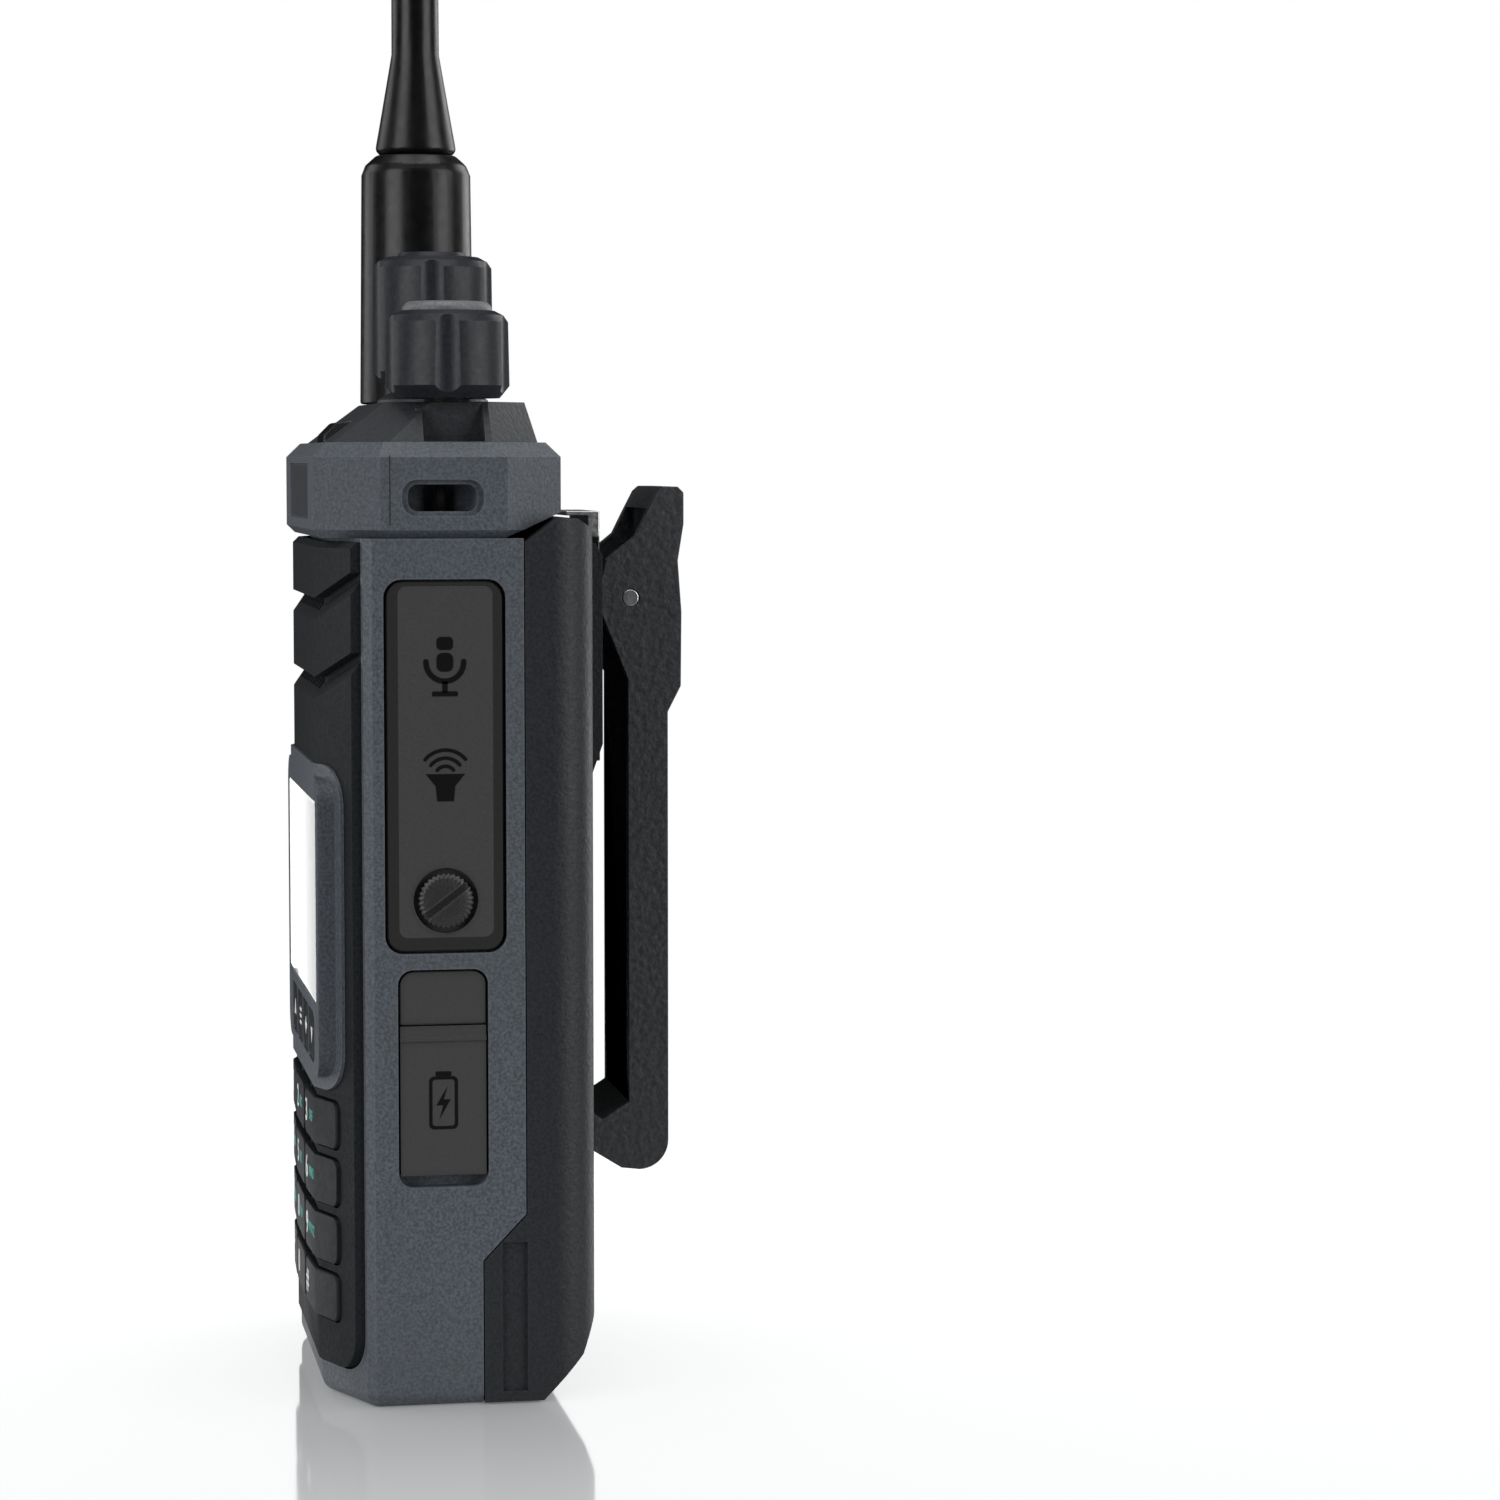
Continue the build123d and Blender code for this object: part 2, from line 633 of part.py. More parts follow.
cap_recess = 1.2
with BuildPart() as volume_knob:
    add(fluted(volume_x, volume_low, volume_knob_height, 0))
    with BuildSketch(Plane.XY.offset(volume_low - 1)):
        with Locations((volume_x, 0)):
            Circle(shaft_radius)
    extrude(amount=volume_shaft_top - volume_low + 1, mode=Mode.SUBTRACT)
    with BuildSketch(Plane.XY.offset(volume_low + volume_knob_height - cap_recess)):
        with Locations((volume_x, 0)):
            Circle(5.95)
    extrude(amount=5, mode=Mode.SUBTRACT)
write(volume_knob.part, "volume_knob")
shaft(volume_x, volume_shaft_top, "volume_shaft")
control_body(volume_x, "volume_control")

cap_low = volume_low + volume_knob_height - cap_recess
volume_knob_cap = revolved([(0, cap_low), (5.9, cap_low), (5.9, cap_low + 1.7), (5.2, cap_low + 2.4),
                            (0, cap_low + 2.5)], volume_x, 0)
write(volume_knob_cap, "volume_knob_cap")

# ---- Antenna -----------------------------------------------------------------------------------

stud_radius = 4.2
sheath_low = body_height + 0.2
sheath_top = sheath_low + sheath_height
stud_top = body_height + 5
antenna_socket = revolved([(1.3, ring_bottom + 1), (5.6, ring_bottom + 1), (5.6, ring_top + 2),
                           (stud_radius, ring_top + 2), (stud_radius, stud_top), (1.3, stud_top)],
                          antenna_x, 0)
write(antenna_socket, "antenna_socket")

sleeve_radius = 5.6
antenna_connector = revolved([(0, stud_top + 2), (1.2, stud_top + 2), (1.2, stud_top + 0.3),
                              (stud_radius + running_gap, stud_top + 0.3),
                              (stud_radius + running_gap, sheath_low + 0.3),
                              (sleeve_radius, sheath_low + 0.3),
                              (sleeve_radius, stud_top + 4), (0, stud_top + 4)], antenna_x, 0)
write(antenna_connector, "antenna_connector")

neck_radius = 5.0
antenna_sheath = revolved([(sleeve_radius, sheath_low), (sheath_radius + 0.1, sheath_low),
                           (sheath_radius - 0.25, sheath_top - 2.8),
                           (sheath_radius - 0.8, sheath_top - 1.4),
                           (neck_radius + 0.5, sheath_top), (2.2, sheath_top),
                           (2.2, stud_top + 4), (sleeve_radius, stud_top + 4)], antenna_x, 0)
write(antenna_sheath, "antenna_sheath")

tip_z = body_height + antenna_length
antenna_whip = revolved([(0, stud_top + 4), (2.2, stud_top + 4), (2.2, sheath_top),
                         (neck_radius, sheath_top),
                         (neck_radius + 0.6, sheath_top + 0.7), (neck_radius + 0.5, sheath_top + 1.5),
                         (3.3, sheath_top + 14), (2.9, tip_z - 2.4), (2.2, tip_z - 0.6), (0, tip_z)],
                        antenna_x, 0)
write(antenna_whip, "antenna_whip")

# ---- Push-to-talk side -------------------------------------------------------------------------

with BuildPart() as ptt_surround:
    extrude(side_rectangle(button_y, (surround_top + surround_bottom) / 2, surround_width - 0.2,
                           surround_height - 0.2, 3.9, -half_width + 0.2), amount=side_recess - 0.2)
    chamfer(ptt_surround.faces().sort_by(Axis.X)[0].edges(), length=0.5)
    for z, height in side_button_holes:
        extrude(side_rectangle(button_y, z, button_width + 2 * key_gap, height + 2 * key_gap, 1,
                               -half_width - 1),
                amount=10, mode=Mode.SUBTRACT)
write(ptt_surround.part, "ptt_surround")

flange_x = -boss_x + 0.2
button_names = ["ptt_button", "side_key_upper", "side_key_lower"]
for (z, height), name in zip(side_button_holes, button_names):
    with BuildPart() as side_button:
        extrude(side_rectangle(button_y, z, button_width, height, 0.9, -half_width - button_proud),
                amount=half_width + button_proud + flange_x)
        chamfer(side_button.faces().sort_by(Axis.X)[0].edges(), length=0.6)
        extrude(side_rectangle(button_y, z, button_width + 1.8, height + 1.8, 1, flange_x), amount=0.8)
    write(side_button.part, name)

with BuildPart() as button_board:
    extrude(side_rectangle(button_y, (surround_top + surround_bottom) / 2, 12, surround_height - 6, 1,
                           flange_x + 0.8 + button_travel + 0.4), amount=0.8)
write(button_board.part, "button_board")

# ---- Accessory side ----------------------------------------------------------------------------

jack_z = cover_top - 14.6
jack_gap = 11.2
jack_radii = [1.8, 1.3]
jack_length = 9.0
with BuildPart() as accessory_socket:
    extrude(side_rectangle(cover_y, cover_top - 20, 10.6, 25.6, 0.8, recess_x - jack_length - 2),
            amount=jack_length + 2)
    for place, radius in enumerate(jack_radii):
        with BuildSketch(Plane.YZ.offset(recess_x - jack_length)):
            with Locations((cover_y, jack_z - place * jack_gap)):
                Circle(radius)
        extrude(amount=jack_length + 5, mode=Mode.SUBTRACT)
write(accessory_socket.part, "accessory_socket")

screw_z = cover_bottom + 6.9
cover_gap = 0.25
with BuildPart() as accessory_cover:
    extrude(side_rectangle(cover_y, (cover_top + cover_bottom) / 2, cover_width - 2 * cover_gap,
                           cover_height - 2 * cover_gap, 2.2, recess_x + 0.1), amount=side_recess - 0.2)
    chamfer(accessory_cover.faces().sort_by(Axis.X)[-1].edges(), length=0.6)
    with BuildSketch(Plane.YZ.offset(half_width - 1.0)):
        with Locations((cover_y, screw_z)):
            Circle(thumbscrew_radius + 0.6)
    extrude(amount=5, mode=Mode.SUBTRACT)
    with BuildSketch(Plane.YZ.offset(recess_x - 1)):
        with Locations((cover_y, screw_z)):
            Circle(1.2 + part_gap)
    extrude(amount=5, mode=Mode.SUBTRACT)
write(accessory_cover.part, "accessory_cover")

with BuildPart() as cover_thumbscrew:
    with BuildSketch(Plane.YZ.offset(half_width - 0.8)):
        with Locations((cover_y, screw_z)):
            Circle(thumbscrew_radius)
            with PolarLocations(thumbscrew_radius, 24):
                Circle(0.22, mode=Mode.SUBTRACT)
    extrude(amount=1.3)
    with BuildSketch(Plane.YZ.offset(boss_x)):
        with Locations((cover_y, screw_z)):
            Circle(1.2)
    extrude(amount=half_width - 0.8 - boss_x)
    with BuildSketch(Plane.YZ.offset(half_width - 0.1)):
        with Locations((cover_y, screw_z)):
            Rectangle(10, 0.9, rotation=33)
    extrude(amount=5, mode=Mode.SUBTRACT)
write(cover_thumbscrew.part, "cover_thumbscrew")

flap_y = cover_y - 0.45
anchor_height = flap_bottom + flap_height - flap_hinge_z
with BuildPart() as flap_anchor:
    extrude(side_rectangle(flap_y, flap_bottom + flap_height / 2, flap_width - 2 * cover_gap,
                           flap_height - 2 * cover_gap, 1.8, recess_x + 0.05), amount=side_recess - 0.25)
    with BuildSketch(Plane.YZ.offset(recess_x - 1)):
        with Locations((flap_y, flap_hinge_z + 0.05 - 20)):
            Rectangle(30, 40)
    extrude(amount=10, mode=Mode.SUBTRACT)
write(flap_anchor.part, "flap_anchor")

with BuildPart() as charge_flap:
    extrude(side_rectangle(flap_y, flap_bottom + flap_height / 2, flap_width - 2 * cover_gap,
                           flap_height - 2 * cover_gap, 1.8, recess_x + 0.2), amount=side_recess - 0.4)
    with BuildSketch(Plane.YZ.offset(recess_x - 1)):
        with Locations((flap_y, flap_hinge_z - 0.1 + 20), (flap_y, flap_bottom + 1.5 - 20)):
            Rectangle(30, 40)
    extrude(amount=10, mode=Mode.SUBTRACT)
    # Finger ridge across the flap, under the hinge
    with BuildSketch(Plane.YZ.offset(half_width - 1)):
        with Locations((flap_y, flap_hinge_z - 1.8)):
            Rectangle(flap_width - 2 * cover_gap, 0.7)
    extrude(amount=1.0)
write(charge_flap.part, "charge_flap")

socket_width = 3.2
socket_height = 9.0
socket_depth = 7.0
with BuildPart() as charge_socket:
    extrude(side_rectangle(flap_y, flap_bottom + 10.9, 4.2, 11.2, 0.9, recess_x - socket_depth - 0.8),
            amount=socket_depth + 0.8)
    extrude(side_rectangle(flap_y, flap_bottom + 10.9, socket_width, socket_height, 1.5,
                           recess_x - socket_depth),
            amount=socket_depth + 5, mode=Mode.SUBTRACT)
    extrude(side_rectangle(flap_y, flap_bottom + 10.9, 0.7, 6.4, 0.3, recess_x - socket_depth), amount=5.4)
write(charge_socket.part, "charge_socket")

# ---- Battery -----------------------------------------------------------------------------------

case_front = seam_y + 0.15
case_foot = foot_y + 0.15
shoulder_z = ring_bottom + 2.55
rail_low = 1.7
rail_high = 21.5
rail_width = 3.3
rail_depth = 0.5
with BuildPart() as battery_case:
    case_side = [(case_front, ring_bottom - 0.5), (back_y - 4.9, shoulder_z), (back_y - 2.6, shoulder_z)]
    case_side += [(back_y - 0.8, shoulder_z - 1.1), (back_y, shoulder_z - 3.2), (back_y, 11),
                  (back_y - 2, 6)]
    case_side += [(back_y - 7.5, 0.3), (case_foot, 0.3), (case_foot, foot_height - 0.1),
                  (case_front, seam_top - 0.1)]
    extrude(side_face(case_side, -half_width), amount=body_width)
    with BuildSketch(Plane.XY.offset(-1)):
        with BuildLine():
            Line((-half_width, foot_y - 1), (half_width, foot_y - 1))
            Line((half_width, foot_y - 1), (half_width, back_y - battery_corner))
            RadiusArc((half_width, back_y - battery_corner), (half_width - battery_corner, back_y),
                      -battery_corner)
            Line((half_width - battery_corner, back_y), (battery_corner - half_width, back_y))
            RadiusArc((battery_corner - half_width, back_y), (-half_width, back_y - battery_corner),
                      -battery_corner)
            Line((-half_width, back_y - battery_corner), (-half_width, foot_y - 1))
        make_face()
    extrude(amount=body_height + 5, mode=Mode.INTERSECT)
    # Raised pad for the clip
    pad_top = shoulder_z - 3.4
    pad_low = clip_pin_height - 19
    pad = [(back_y - 1, pad_low - 6.5), (back_y, pad_low - 5), (pad_y, pad_low), (pad_y, pad_top - 1.5)]
    extrude(side_face(pad + [(pad_y - 1, pad_top), (back_y - 1, pad_top)], -clip_width),
            amount=2 * clip_width)
    # Room for the cells
    cavity_low = foot_height - 4
    cavity_height = ring_bottom - 5 - cavity_low
    extrude(front_rectangle(0, cavity_low + cavity_height / 2, body_width - 7, cavity_height, 1,
                            back_y - 1.8),
            amount=battery_depth - 3.6, mode=Mode.SUBTRACT)
    # Shallow charging rails
    for side in (-1, 1):
        with BuildSketch(Plane.YZ.offset(side * half_width - rail_depth)):
            with Locations((seam_y - 1.5, (rail_low + rail_high) / 2)):
                Rectangle(rail_width, rail_high - rail_low)
        extrude(amount=2 * rail_depth, mode=Mode.SUBTRACT)
    # Grip slots in a chevron on the lower back
    for column in range(-3, 4):
        for top_z, length in ((28, 4.8), (21.5, 9.8)):
            middle_z = top_z - abs(column) * 2.6 - length / 2
            slot_face = front_rectangle(column * 6.6, middle_z, 2.2, length, 1.0, back_y - 0.7)
            extrude(slot_face, amount=-5, mode=Mode.SUBTRACT)
    contact_z = foot_height + 12
    extrude(front_rectangle(0, contact_z, 26.4, 6.4, 0.5, case_front + 0.6), amount=5, mode=Mode.SUBTRACT)
write(battery_case.part, "battery_case")

with BuildPart() as battery_cells:
    cell_height = (cavity_height - 2) / 2
    for z in (cavity_low + 0.5 + cell_height / 2, cavity_low + 1.5 + 1.5 * cell_height):
        extrude(front_rectangle(0, z, body_width - 8, cell_height, 0.8, back_y - 2),
                amount=battery_depth - 4)
write(battery_cells.part, "battery_cells")

with BuildPart() as battery_contacts:
    with BuildSketch(Plane.XZ.offset(-(case_front + 0.6))):
        with Locations((-9, contact_z), (-3, contact_z), (3, contact_z), (9, contact_z)):
            Rectangle(3.2, 5)
    extrude(amount=0.5)
write(battery_contacts.part, "battery_contacts")

# ---- Belt clip ---------------------------------------------------------------------------------

cheek_inner = clip_width / 2 - clip_cheek
ear_outer = cheek_inner - part_gap
ear_thickness = 1.4
plate_y = pad_y + clip_plate
plate_top = shoulder_z + 0.7
screw_heights = [pad_low + 4.5, pad_low + 11.5]
with BuildPart() as clip_base:
    plate_side = [(pad_y, pad_low - 3.2), (plate_y, pad_low - 3.2), (plate_y, plate_top),
                  (back_y - 1.2, plate_top)]
    plate_side += [(back_y - 1.2, shoulder_z + 0.1), (pad_y, shoulder_z + 0.1)]
    extrude(side_face(plate_side, -ear_outer), amount=2 * ear_outer)
    for x in (-ear_outer, ear_outer - ear_thickness):
        with BuildSketch(Plane.YZ.offset(x)):
            with Locations((pin_y, clip_pin_height)):
                Circle(2.5)
            with Locations(((plate_y - 0.5 + pin_y) / 2, clip_pin_height)):
                Rectangle(pin_y - plate_y + 0.5, 5)
            with Locations((pin_y, clip_pin_height)):
                Circle(pin_radius, mode=Mode.SUBTRACT)
        extrude(amount=ear_thickness)
    with BuildSketch(Plane.XZ.offset(-pad_y)):
        with Locations(*[(0, z) for z in screw_heights]):
            Circle(1.6)
    extrude(amount=-5, mode=Mode.SUBTRACT)
write(clip_base.part, "clip_base")

with BuildPart() as clip_screws:
    for z in screw_heights:
        with BuildSketch(Plane.XZ.offset(-pad_y)):
            with Locations((0, z)):
                Circle(1.55)
        extrude(amount=-clip_plate)
        with BuildSketch(Plane.XZ.offset(-plate_y)):
            with Locations((0, z)):
                Circle(2.6)
        extrude(amount=-1.1)
write(clip_screws.part, "clip_screws")

with BuildPart() as clip_pin:
    with BuildSketch(Plane.YZ.offset(-clip_width / 2)):
        with Locations((pin_y, clip_pin_height)):
            Circle(pin_radius)
    extrude(amount=clip_width)
write(clip_pin.part, "clip_pin")

with BuildPart() as clip_spring:
    spring_reach = ear_outer - ear_thickness - 0.4
    with BuildSketch(Plane.YZ.offset(-spring_reach)):
        with Locations((pin_y, clip_pin_height)):
            Circle(2.6)
            Circle(pin_radius + 0.3, mode=Mode.SUBTRACT)
    extrude(amount=2 * spring_reach)
write(clip_spring.part, "clip_spring")

arm_y = pin_y - 0.4
outer_y = arm_y + 5.5
hook_z = 27.2
ear_radius = 4.6
lever_top = clip_pin_height + 15.0
web = 2.0
ear_low = (pin_y + ear_radius * cos(radians(215)), clip_pin_height + ear_radius * sin(radians(215)))
ear_high = (pin_y + ear_radius * cos(radians(150)), clip_pin_height + ear_radius * sin(radians(150)))
ear_left = (pin_y - ear_radius, clip_pin_height)
with BuildPart() as clip_lever:
    with BuildSketch(Plane.YZ.offset(-clip_width / 2)):
        with BuildLine():
            Polyline(ear_low, (arm_y, clip_pin_height - 11), (arm_y, hook_z + 9.4),
                     (back_y + 3.2, hook_z + 7),
                     (back_y + 0.9, hook_z + 8.8), (back_y + 0.3, hook_z + 8), (back_y + 0.3, hook_z + 3.8),
                     (arm_y - 1, hook_z + 0.3), (outer_y - 4, hook_z))
            RadiusArc((outer_y - 4, hook_z), (outer_y, hook_z + 4), -4)
            Polyline((outer_y, hook_z + 4), (outer_y, clip_pin_height - 15.5),
                     (outer_y + 1.8, clip_pin_height - 12),
                     (outer_y + 1.9, clip_pin_height - 2), (outer_y + 1.4, clip_pin_height + 5),
                     (outer_y + 2.2, clip_pin_height + 10), (outer_y + 2.2, lever_top - 0.8),
                     (outer_y + 1.4, lever_top), (outer_y - 0.6, lever_top),
                     (outer_y - 1.4, lever_top - 0.7),
                     (outer_y - 2.8, lever_top - 3.4), (outer_y - 4.4, lever_top - 6.6),
                     (arm_y - 2.9, lever_top - 9.8), ear_high)
            ThreePointArc(ear_high, ear_left, ear_low)
        make_face()
    extrude(amount=clip_width)
    # Hollow of the channel, open towards the battery
    hollow_top = lever_top - 3
    hollow = [(back_y + 1, hook_z + 9.6), (outer_y - web, hook_z + 9.6),
              (outer_y - web, clip_pin_height - 8)]
    hollow += [(outer_y - 1.6, clip_pin_height + 5), (outer_y - 1.6, hollow_top)]
    extrude(side_face(hollow + [(back_y + 1, hollow_top)], -cheek_inner), amount=2 * cheek_inner,
            mode=Mode.SUBTRACT)
    with BuildSketch(Plane.YZ.offset(-clip_width)):
        with Locations((pin_y, clip_pin_height)):
            Circle(pin_radius + running_gap)
    extrude(amount=2 * clip_width, mode=Mode.SUBTRACT)
write(clip_lever.part, "clip_lever")
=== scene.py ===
"""Looks of the handheld radio: finishes, edge rounding, printed legends and small trim."""

import json
import math

import bmesh
import bpy
from mathutils import Matrix, Vector


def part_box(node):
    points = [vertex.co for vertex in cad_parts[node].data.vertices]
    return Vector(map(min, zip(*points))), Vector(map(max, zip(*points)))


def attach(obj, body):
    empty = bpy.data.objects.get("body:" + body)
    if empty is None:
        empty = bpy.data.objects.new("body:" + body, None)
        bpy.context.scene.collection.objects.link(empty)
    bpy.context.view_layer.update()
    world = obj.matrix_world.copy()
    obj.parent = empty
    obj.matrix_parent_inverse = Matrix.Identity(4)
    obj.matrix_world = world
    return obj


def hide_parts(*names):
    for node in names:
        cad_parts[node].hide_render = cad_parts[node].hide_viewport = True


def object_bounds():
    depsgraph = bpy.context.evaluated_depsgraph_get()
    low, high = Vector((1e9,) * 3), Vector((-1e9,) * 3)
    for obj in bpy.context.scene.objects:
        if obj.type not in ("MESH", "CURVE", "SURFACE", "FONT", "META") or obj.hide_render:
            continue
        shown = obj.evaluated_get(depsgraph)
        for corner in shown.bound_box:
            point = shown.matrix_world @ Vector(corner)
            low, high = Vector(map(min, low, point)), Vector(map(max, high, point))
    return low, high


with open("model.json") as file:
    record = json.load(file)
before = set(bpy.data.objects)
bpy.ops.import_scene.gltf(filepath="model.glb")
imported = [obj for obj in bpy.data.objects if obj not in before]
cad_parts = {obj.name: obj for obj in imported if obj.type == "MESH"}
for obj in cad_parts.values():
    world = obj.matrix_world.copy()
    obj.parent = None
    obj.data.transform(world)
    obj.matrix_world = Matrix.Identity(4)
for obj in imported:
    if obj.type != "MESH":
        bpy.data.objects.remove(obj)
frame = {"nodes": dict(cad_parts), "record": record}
bpy.context.view_layer.update()
cad_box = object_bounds()
MM = 0.001
NODES = frame["nodes"]
BODY_OF = {n: b for b, members in frame["record"]["behaviour"]["bodies"].items() for n in members}
X, Y, Z = Vector((1, 0, 0)), Vector((0, 1, 0)), Vector((0, 0, 1))


def low(node):
    """The lowest corner of a node's box, in metres."""
    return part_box(node)[0]


def high(node):
    """The highest corner of a node's box, in metres."""
    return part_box(node)[1]


def middle(node):
    """The middle of a node's box, in metres."""
    lo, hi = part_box(node)
    return (lo + hi) / 2


# ---- Materials -----------------------------------------------------------------------------------

def grey(v):
    return (v, v, v)


class Nodes:
    """A short way to write a shader tree."""

    def __init__(self, name):
        self.material = bpy.data.materials.new(name)
        self.material.use_nodes = True
        self.tree = self.material.node_tree
        self.tree.nodes.clear()
        self.out = self.add("ShaderNodeOutputMaterial")
        self.place = self.add("ShaderNodeTexCoord").outputs["Object"]

    def add(self, kind, **values):
        node = self.tree.nodes.new(kind)
        for key, value in values.items():
            setattr(node, key, value)
        return node

    def link(self, source, target):
        self.tree.links.new(source, target)

    def noise(self, scale, detail=2.0, stretch=None):
        """Noise in the object's own space, stretched along its axes if asked."""
        node = self.add("ShaderNodeTexNoise")
        node.inputs["Scale"].default_value = scale
        node.inputs["Detail"].default_value = detail
        place = self.place
        if stretch:
            mapping = self.add("ShaderNodeMapping")
            mapping.inputs["Scale"].default_value = stretch
            self.link(place, mapping.inputs["Vector"])
            place = mapping.outputs["Vector"]
        self.link(place, node.inputs["Vector"])
        return node.outputs["Fac"]

    def span(self, source, start, end, low_value, high_value):
        """Maps start..end to low_value..high_value."""
        node = self.add("ShaderNodeMapRange")
        limits = {"From Min": start, "From Max": end, "To Min": low_value, "To Max": high_value}
        for key, value in limits.items():
            node.inputs[key].default_value = value
        self.link(source, node.inputs["Value"])
        return node.outputs["Result"]

    def math(self, operation, a, b):
        node = self.add("ShaderNodeMath", operation=operation)
        for socket, value in zip(node.inputs, (a, b)):
            if isinstance(value, (int, float)):
                socket.default_value = value
            else:
                self.link(value, socket)
        return node.outputs[0]

    def mix(self, factor, a, b):
        node = self.add("ShaderNodeMix", data_type="RGBA")
        for socket, value in ((node.inputs[0], factor), (node.inputs[6], a), (node.inputs[7], b)):
            if isinstance(value, (tuple, list)):
                socket.default_value = (*value, 1)
            elif isinstance(value, (int, float)):
                socket.default_value = value
            else:
                self.link(value, socket)
        return node.outputs[2]

    def edge(self, radius):
        """Near 1 along convex and concave edges, 0 on flats."""
        bevel = self.add("ShaderNodeBevel", samples=4)
        bevel.inputs["Radius"].default_value = radius
        geometry = self.add("ShaderNodeNewGeometry")
        dot = self.add("ShaderNodeVectorMath", operation="DOT_PRODUCT")
        self.link(bevel.outputs["Normal"], dot.inputs[0])
        self.link(geometry.outputs["Normal"], dot.inputs[1])
        return self.span(dot.outputs["Value"], 0.99, 0.86, 0.0, 1.0)


BLOTCH = 0.12      # how much darker the broad blotches are


def moulded(name, color, rough=0.5, grain=1500, bump=0.05, speckle=0.25, edge_shading_and_wear_share=0.35, edge_shading_and_wear_color=None,
            edge_radius=0.45, specular=0.4, metal=0.0, stretch=None):
    """Moulded plastic, rubber or plated metal: grain relief, speckle, blotches, and edges and creases mixed
    towards edge_shading_and_wear_color: painted highlight where that colour is lighter, painted shade where
    it is darker, with wear.
    bump and edge_radius are in millimetres; speckle and edge_shading_and_wear_share are shares of the colour."""
    n = Nodes(name)
    shader = n.add("ShaderNodeBsdfPrincipled")
    fine = n.noise(grain, 3.0, stretch)
    flecks = n.noise(grain * 1.7, 1.0)
    broad = n.noise(45, 3.0)
    dark = tuple(c * (1 - speckle) for c in color)
    light = tuple(min(1, c * (1 + speckle)) for c in color)
    base = n.mix(n.span(flecks, 0.3, 0.7, 0, 1), dark, light)
    shade = tuple(c * (1 - BLOTCH) for c in color)
    base = n.mix(n.math("MULTIPLY", n.span(broad, 0.35, 0.7, 0, 1), 0.35), base, shade)
    # Edges and creases are mixed towards a lighter colour by default, which is painted highlight with some
    # wear; a darker edge colour paints shade instead.
    edge_shading_and_wear_color = edge_shading_and_wear_color or tuple(min(1, c * 2.2 + 0.01) for c in color)
    edge_shading_and_wear = n.math("MULTIPLY", n.edge(edge_radius * MM), n.span(broad, 0.3, 0.65, 0.45 * edge_shading_and_wear_share, edge_shading_and_wear_share))
    base = n.mix(edge_shading_and_wear, base, edge_shading_and_wear_color)
    n.link(base, shader.inputs["Base Color"])
    spread = n.span(n.math("ADD", fine, n.math("MULTIPLY", broad, 0.8)), 0.5, 1.3, rough - 0.07, rough + 0.09)
    n.link(n.math("SUBTRACT", spread, n.math("MULTIPLY", edge_shading_and_wear, 0.12)), shader.inputs["Roughness"])
    relief = n.add("ShaderNodeBump")
    relief.inputs["Distance"].default_value = bump * MM
    relief.inputs["Strength"].default_value = 1.0
    n.link(fine, relief.inputs["Height"])
    n.link(relief.outputs["Normal"], shader.inputs["Normal"])
    shader.inputs["Specular IOR Level"].default_value = specular
    shader.inputs["Metallic"].default_value = metal
    n.link(shader.outputs[0], n.out.inputs["Surface"])
    return n.material


def clear(name, tint, rough, weight):
    """Clear or smoked window with a faint haze of fine scratches."""
    n = Nodes(name)
    shader = n.add("ShaderNodeBsdfPrincipled")
    scratches = n.noise(900, 4.0, (1, 1, 0.05))
    n.link(n.span(scratches, 0.4, 0.8, rough, rough + 0.1), shader.inputs["Roughness"])
    n.link(n.mix(n.noise(30), tint, tuple(c * 0.96 for c in tint)), shader.inputs["Base Color"])
    shader.inputs["Transmission Weight"].default_value = weight
    shader.inputs["IOR"].default_value = 1.32
    n.link(shader.outputs[0], n.out.inputs["Surface"])
    return n.material


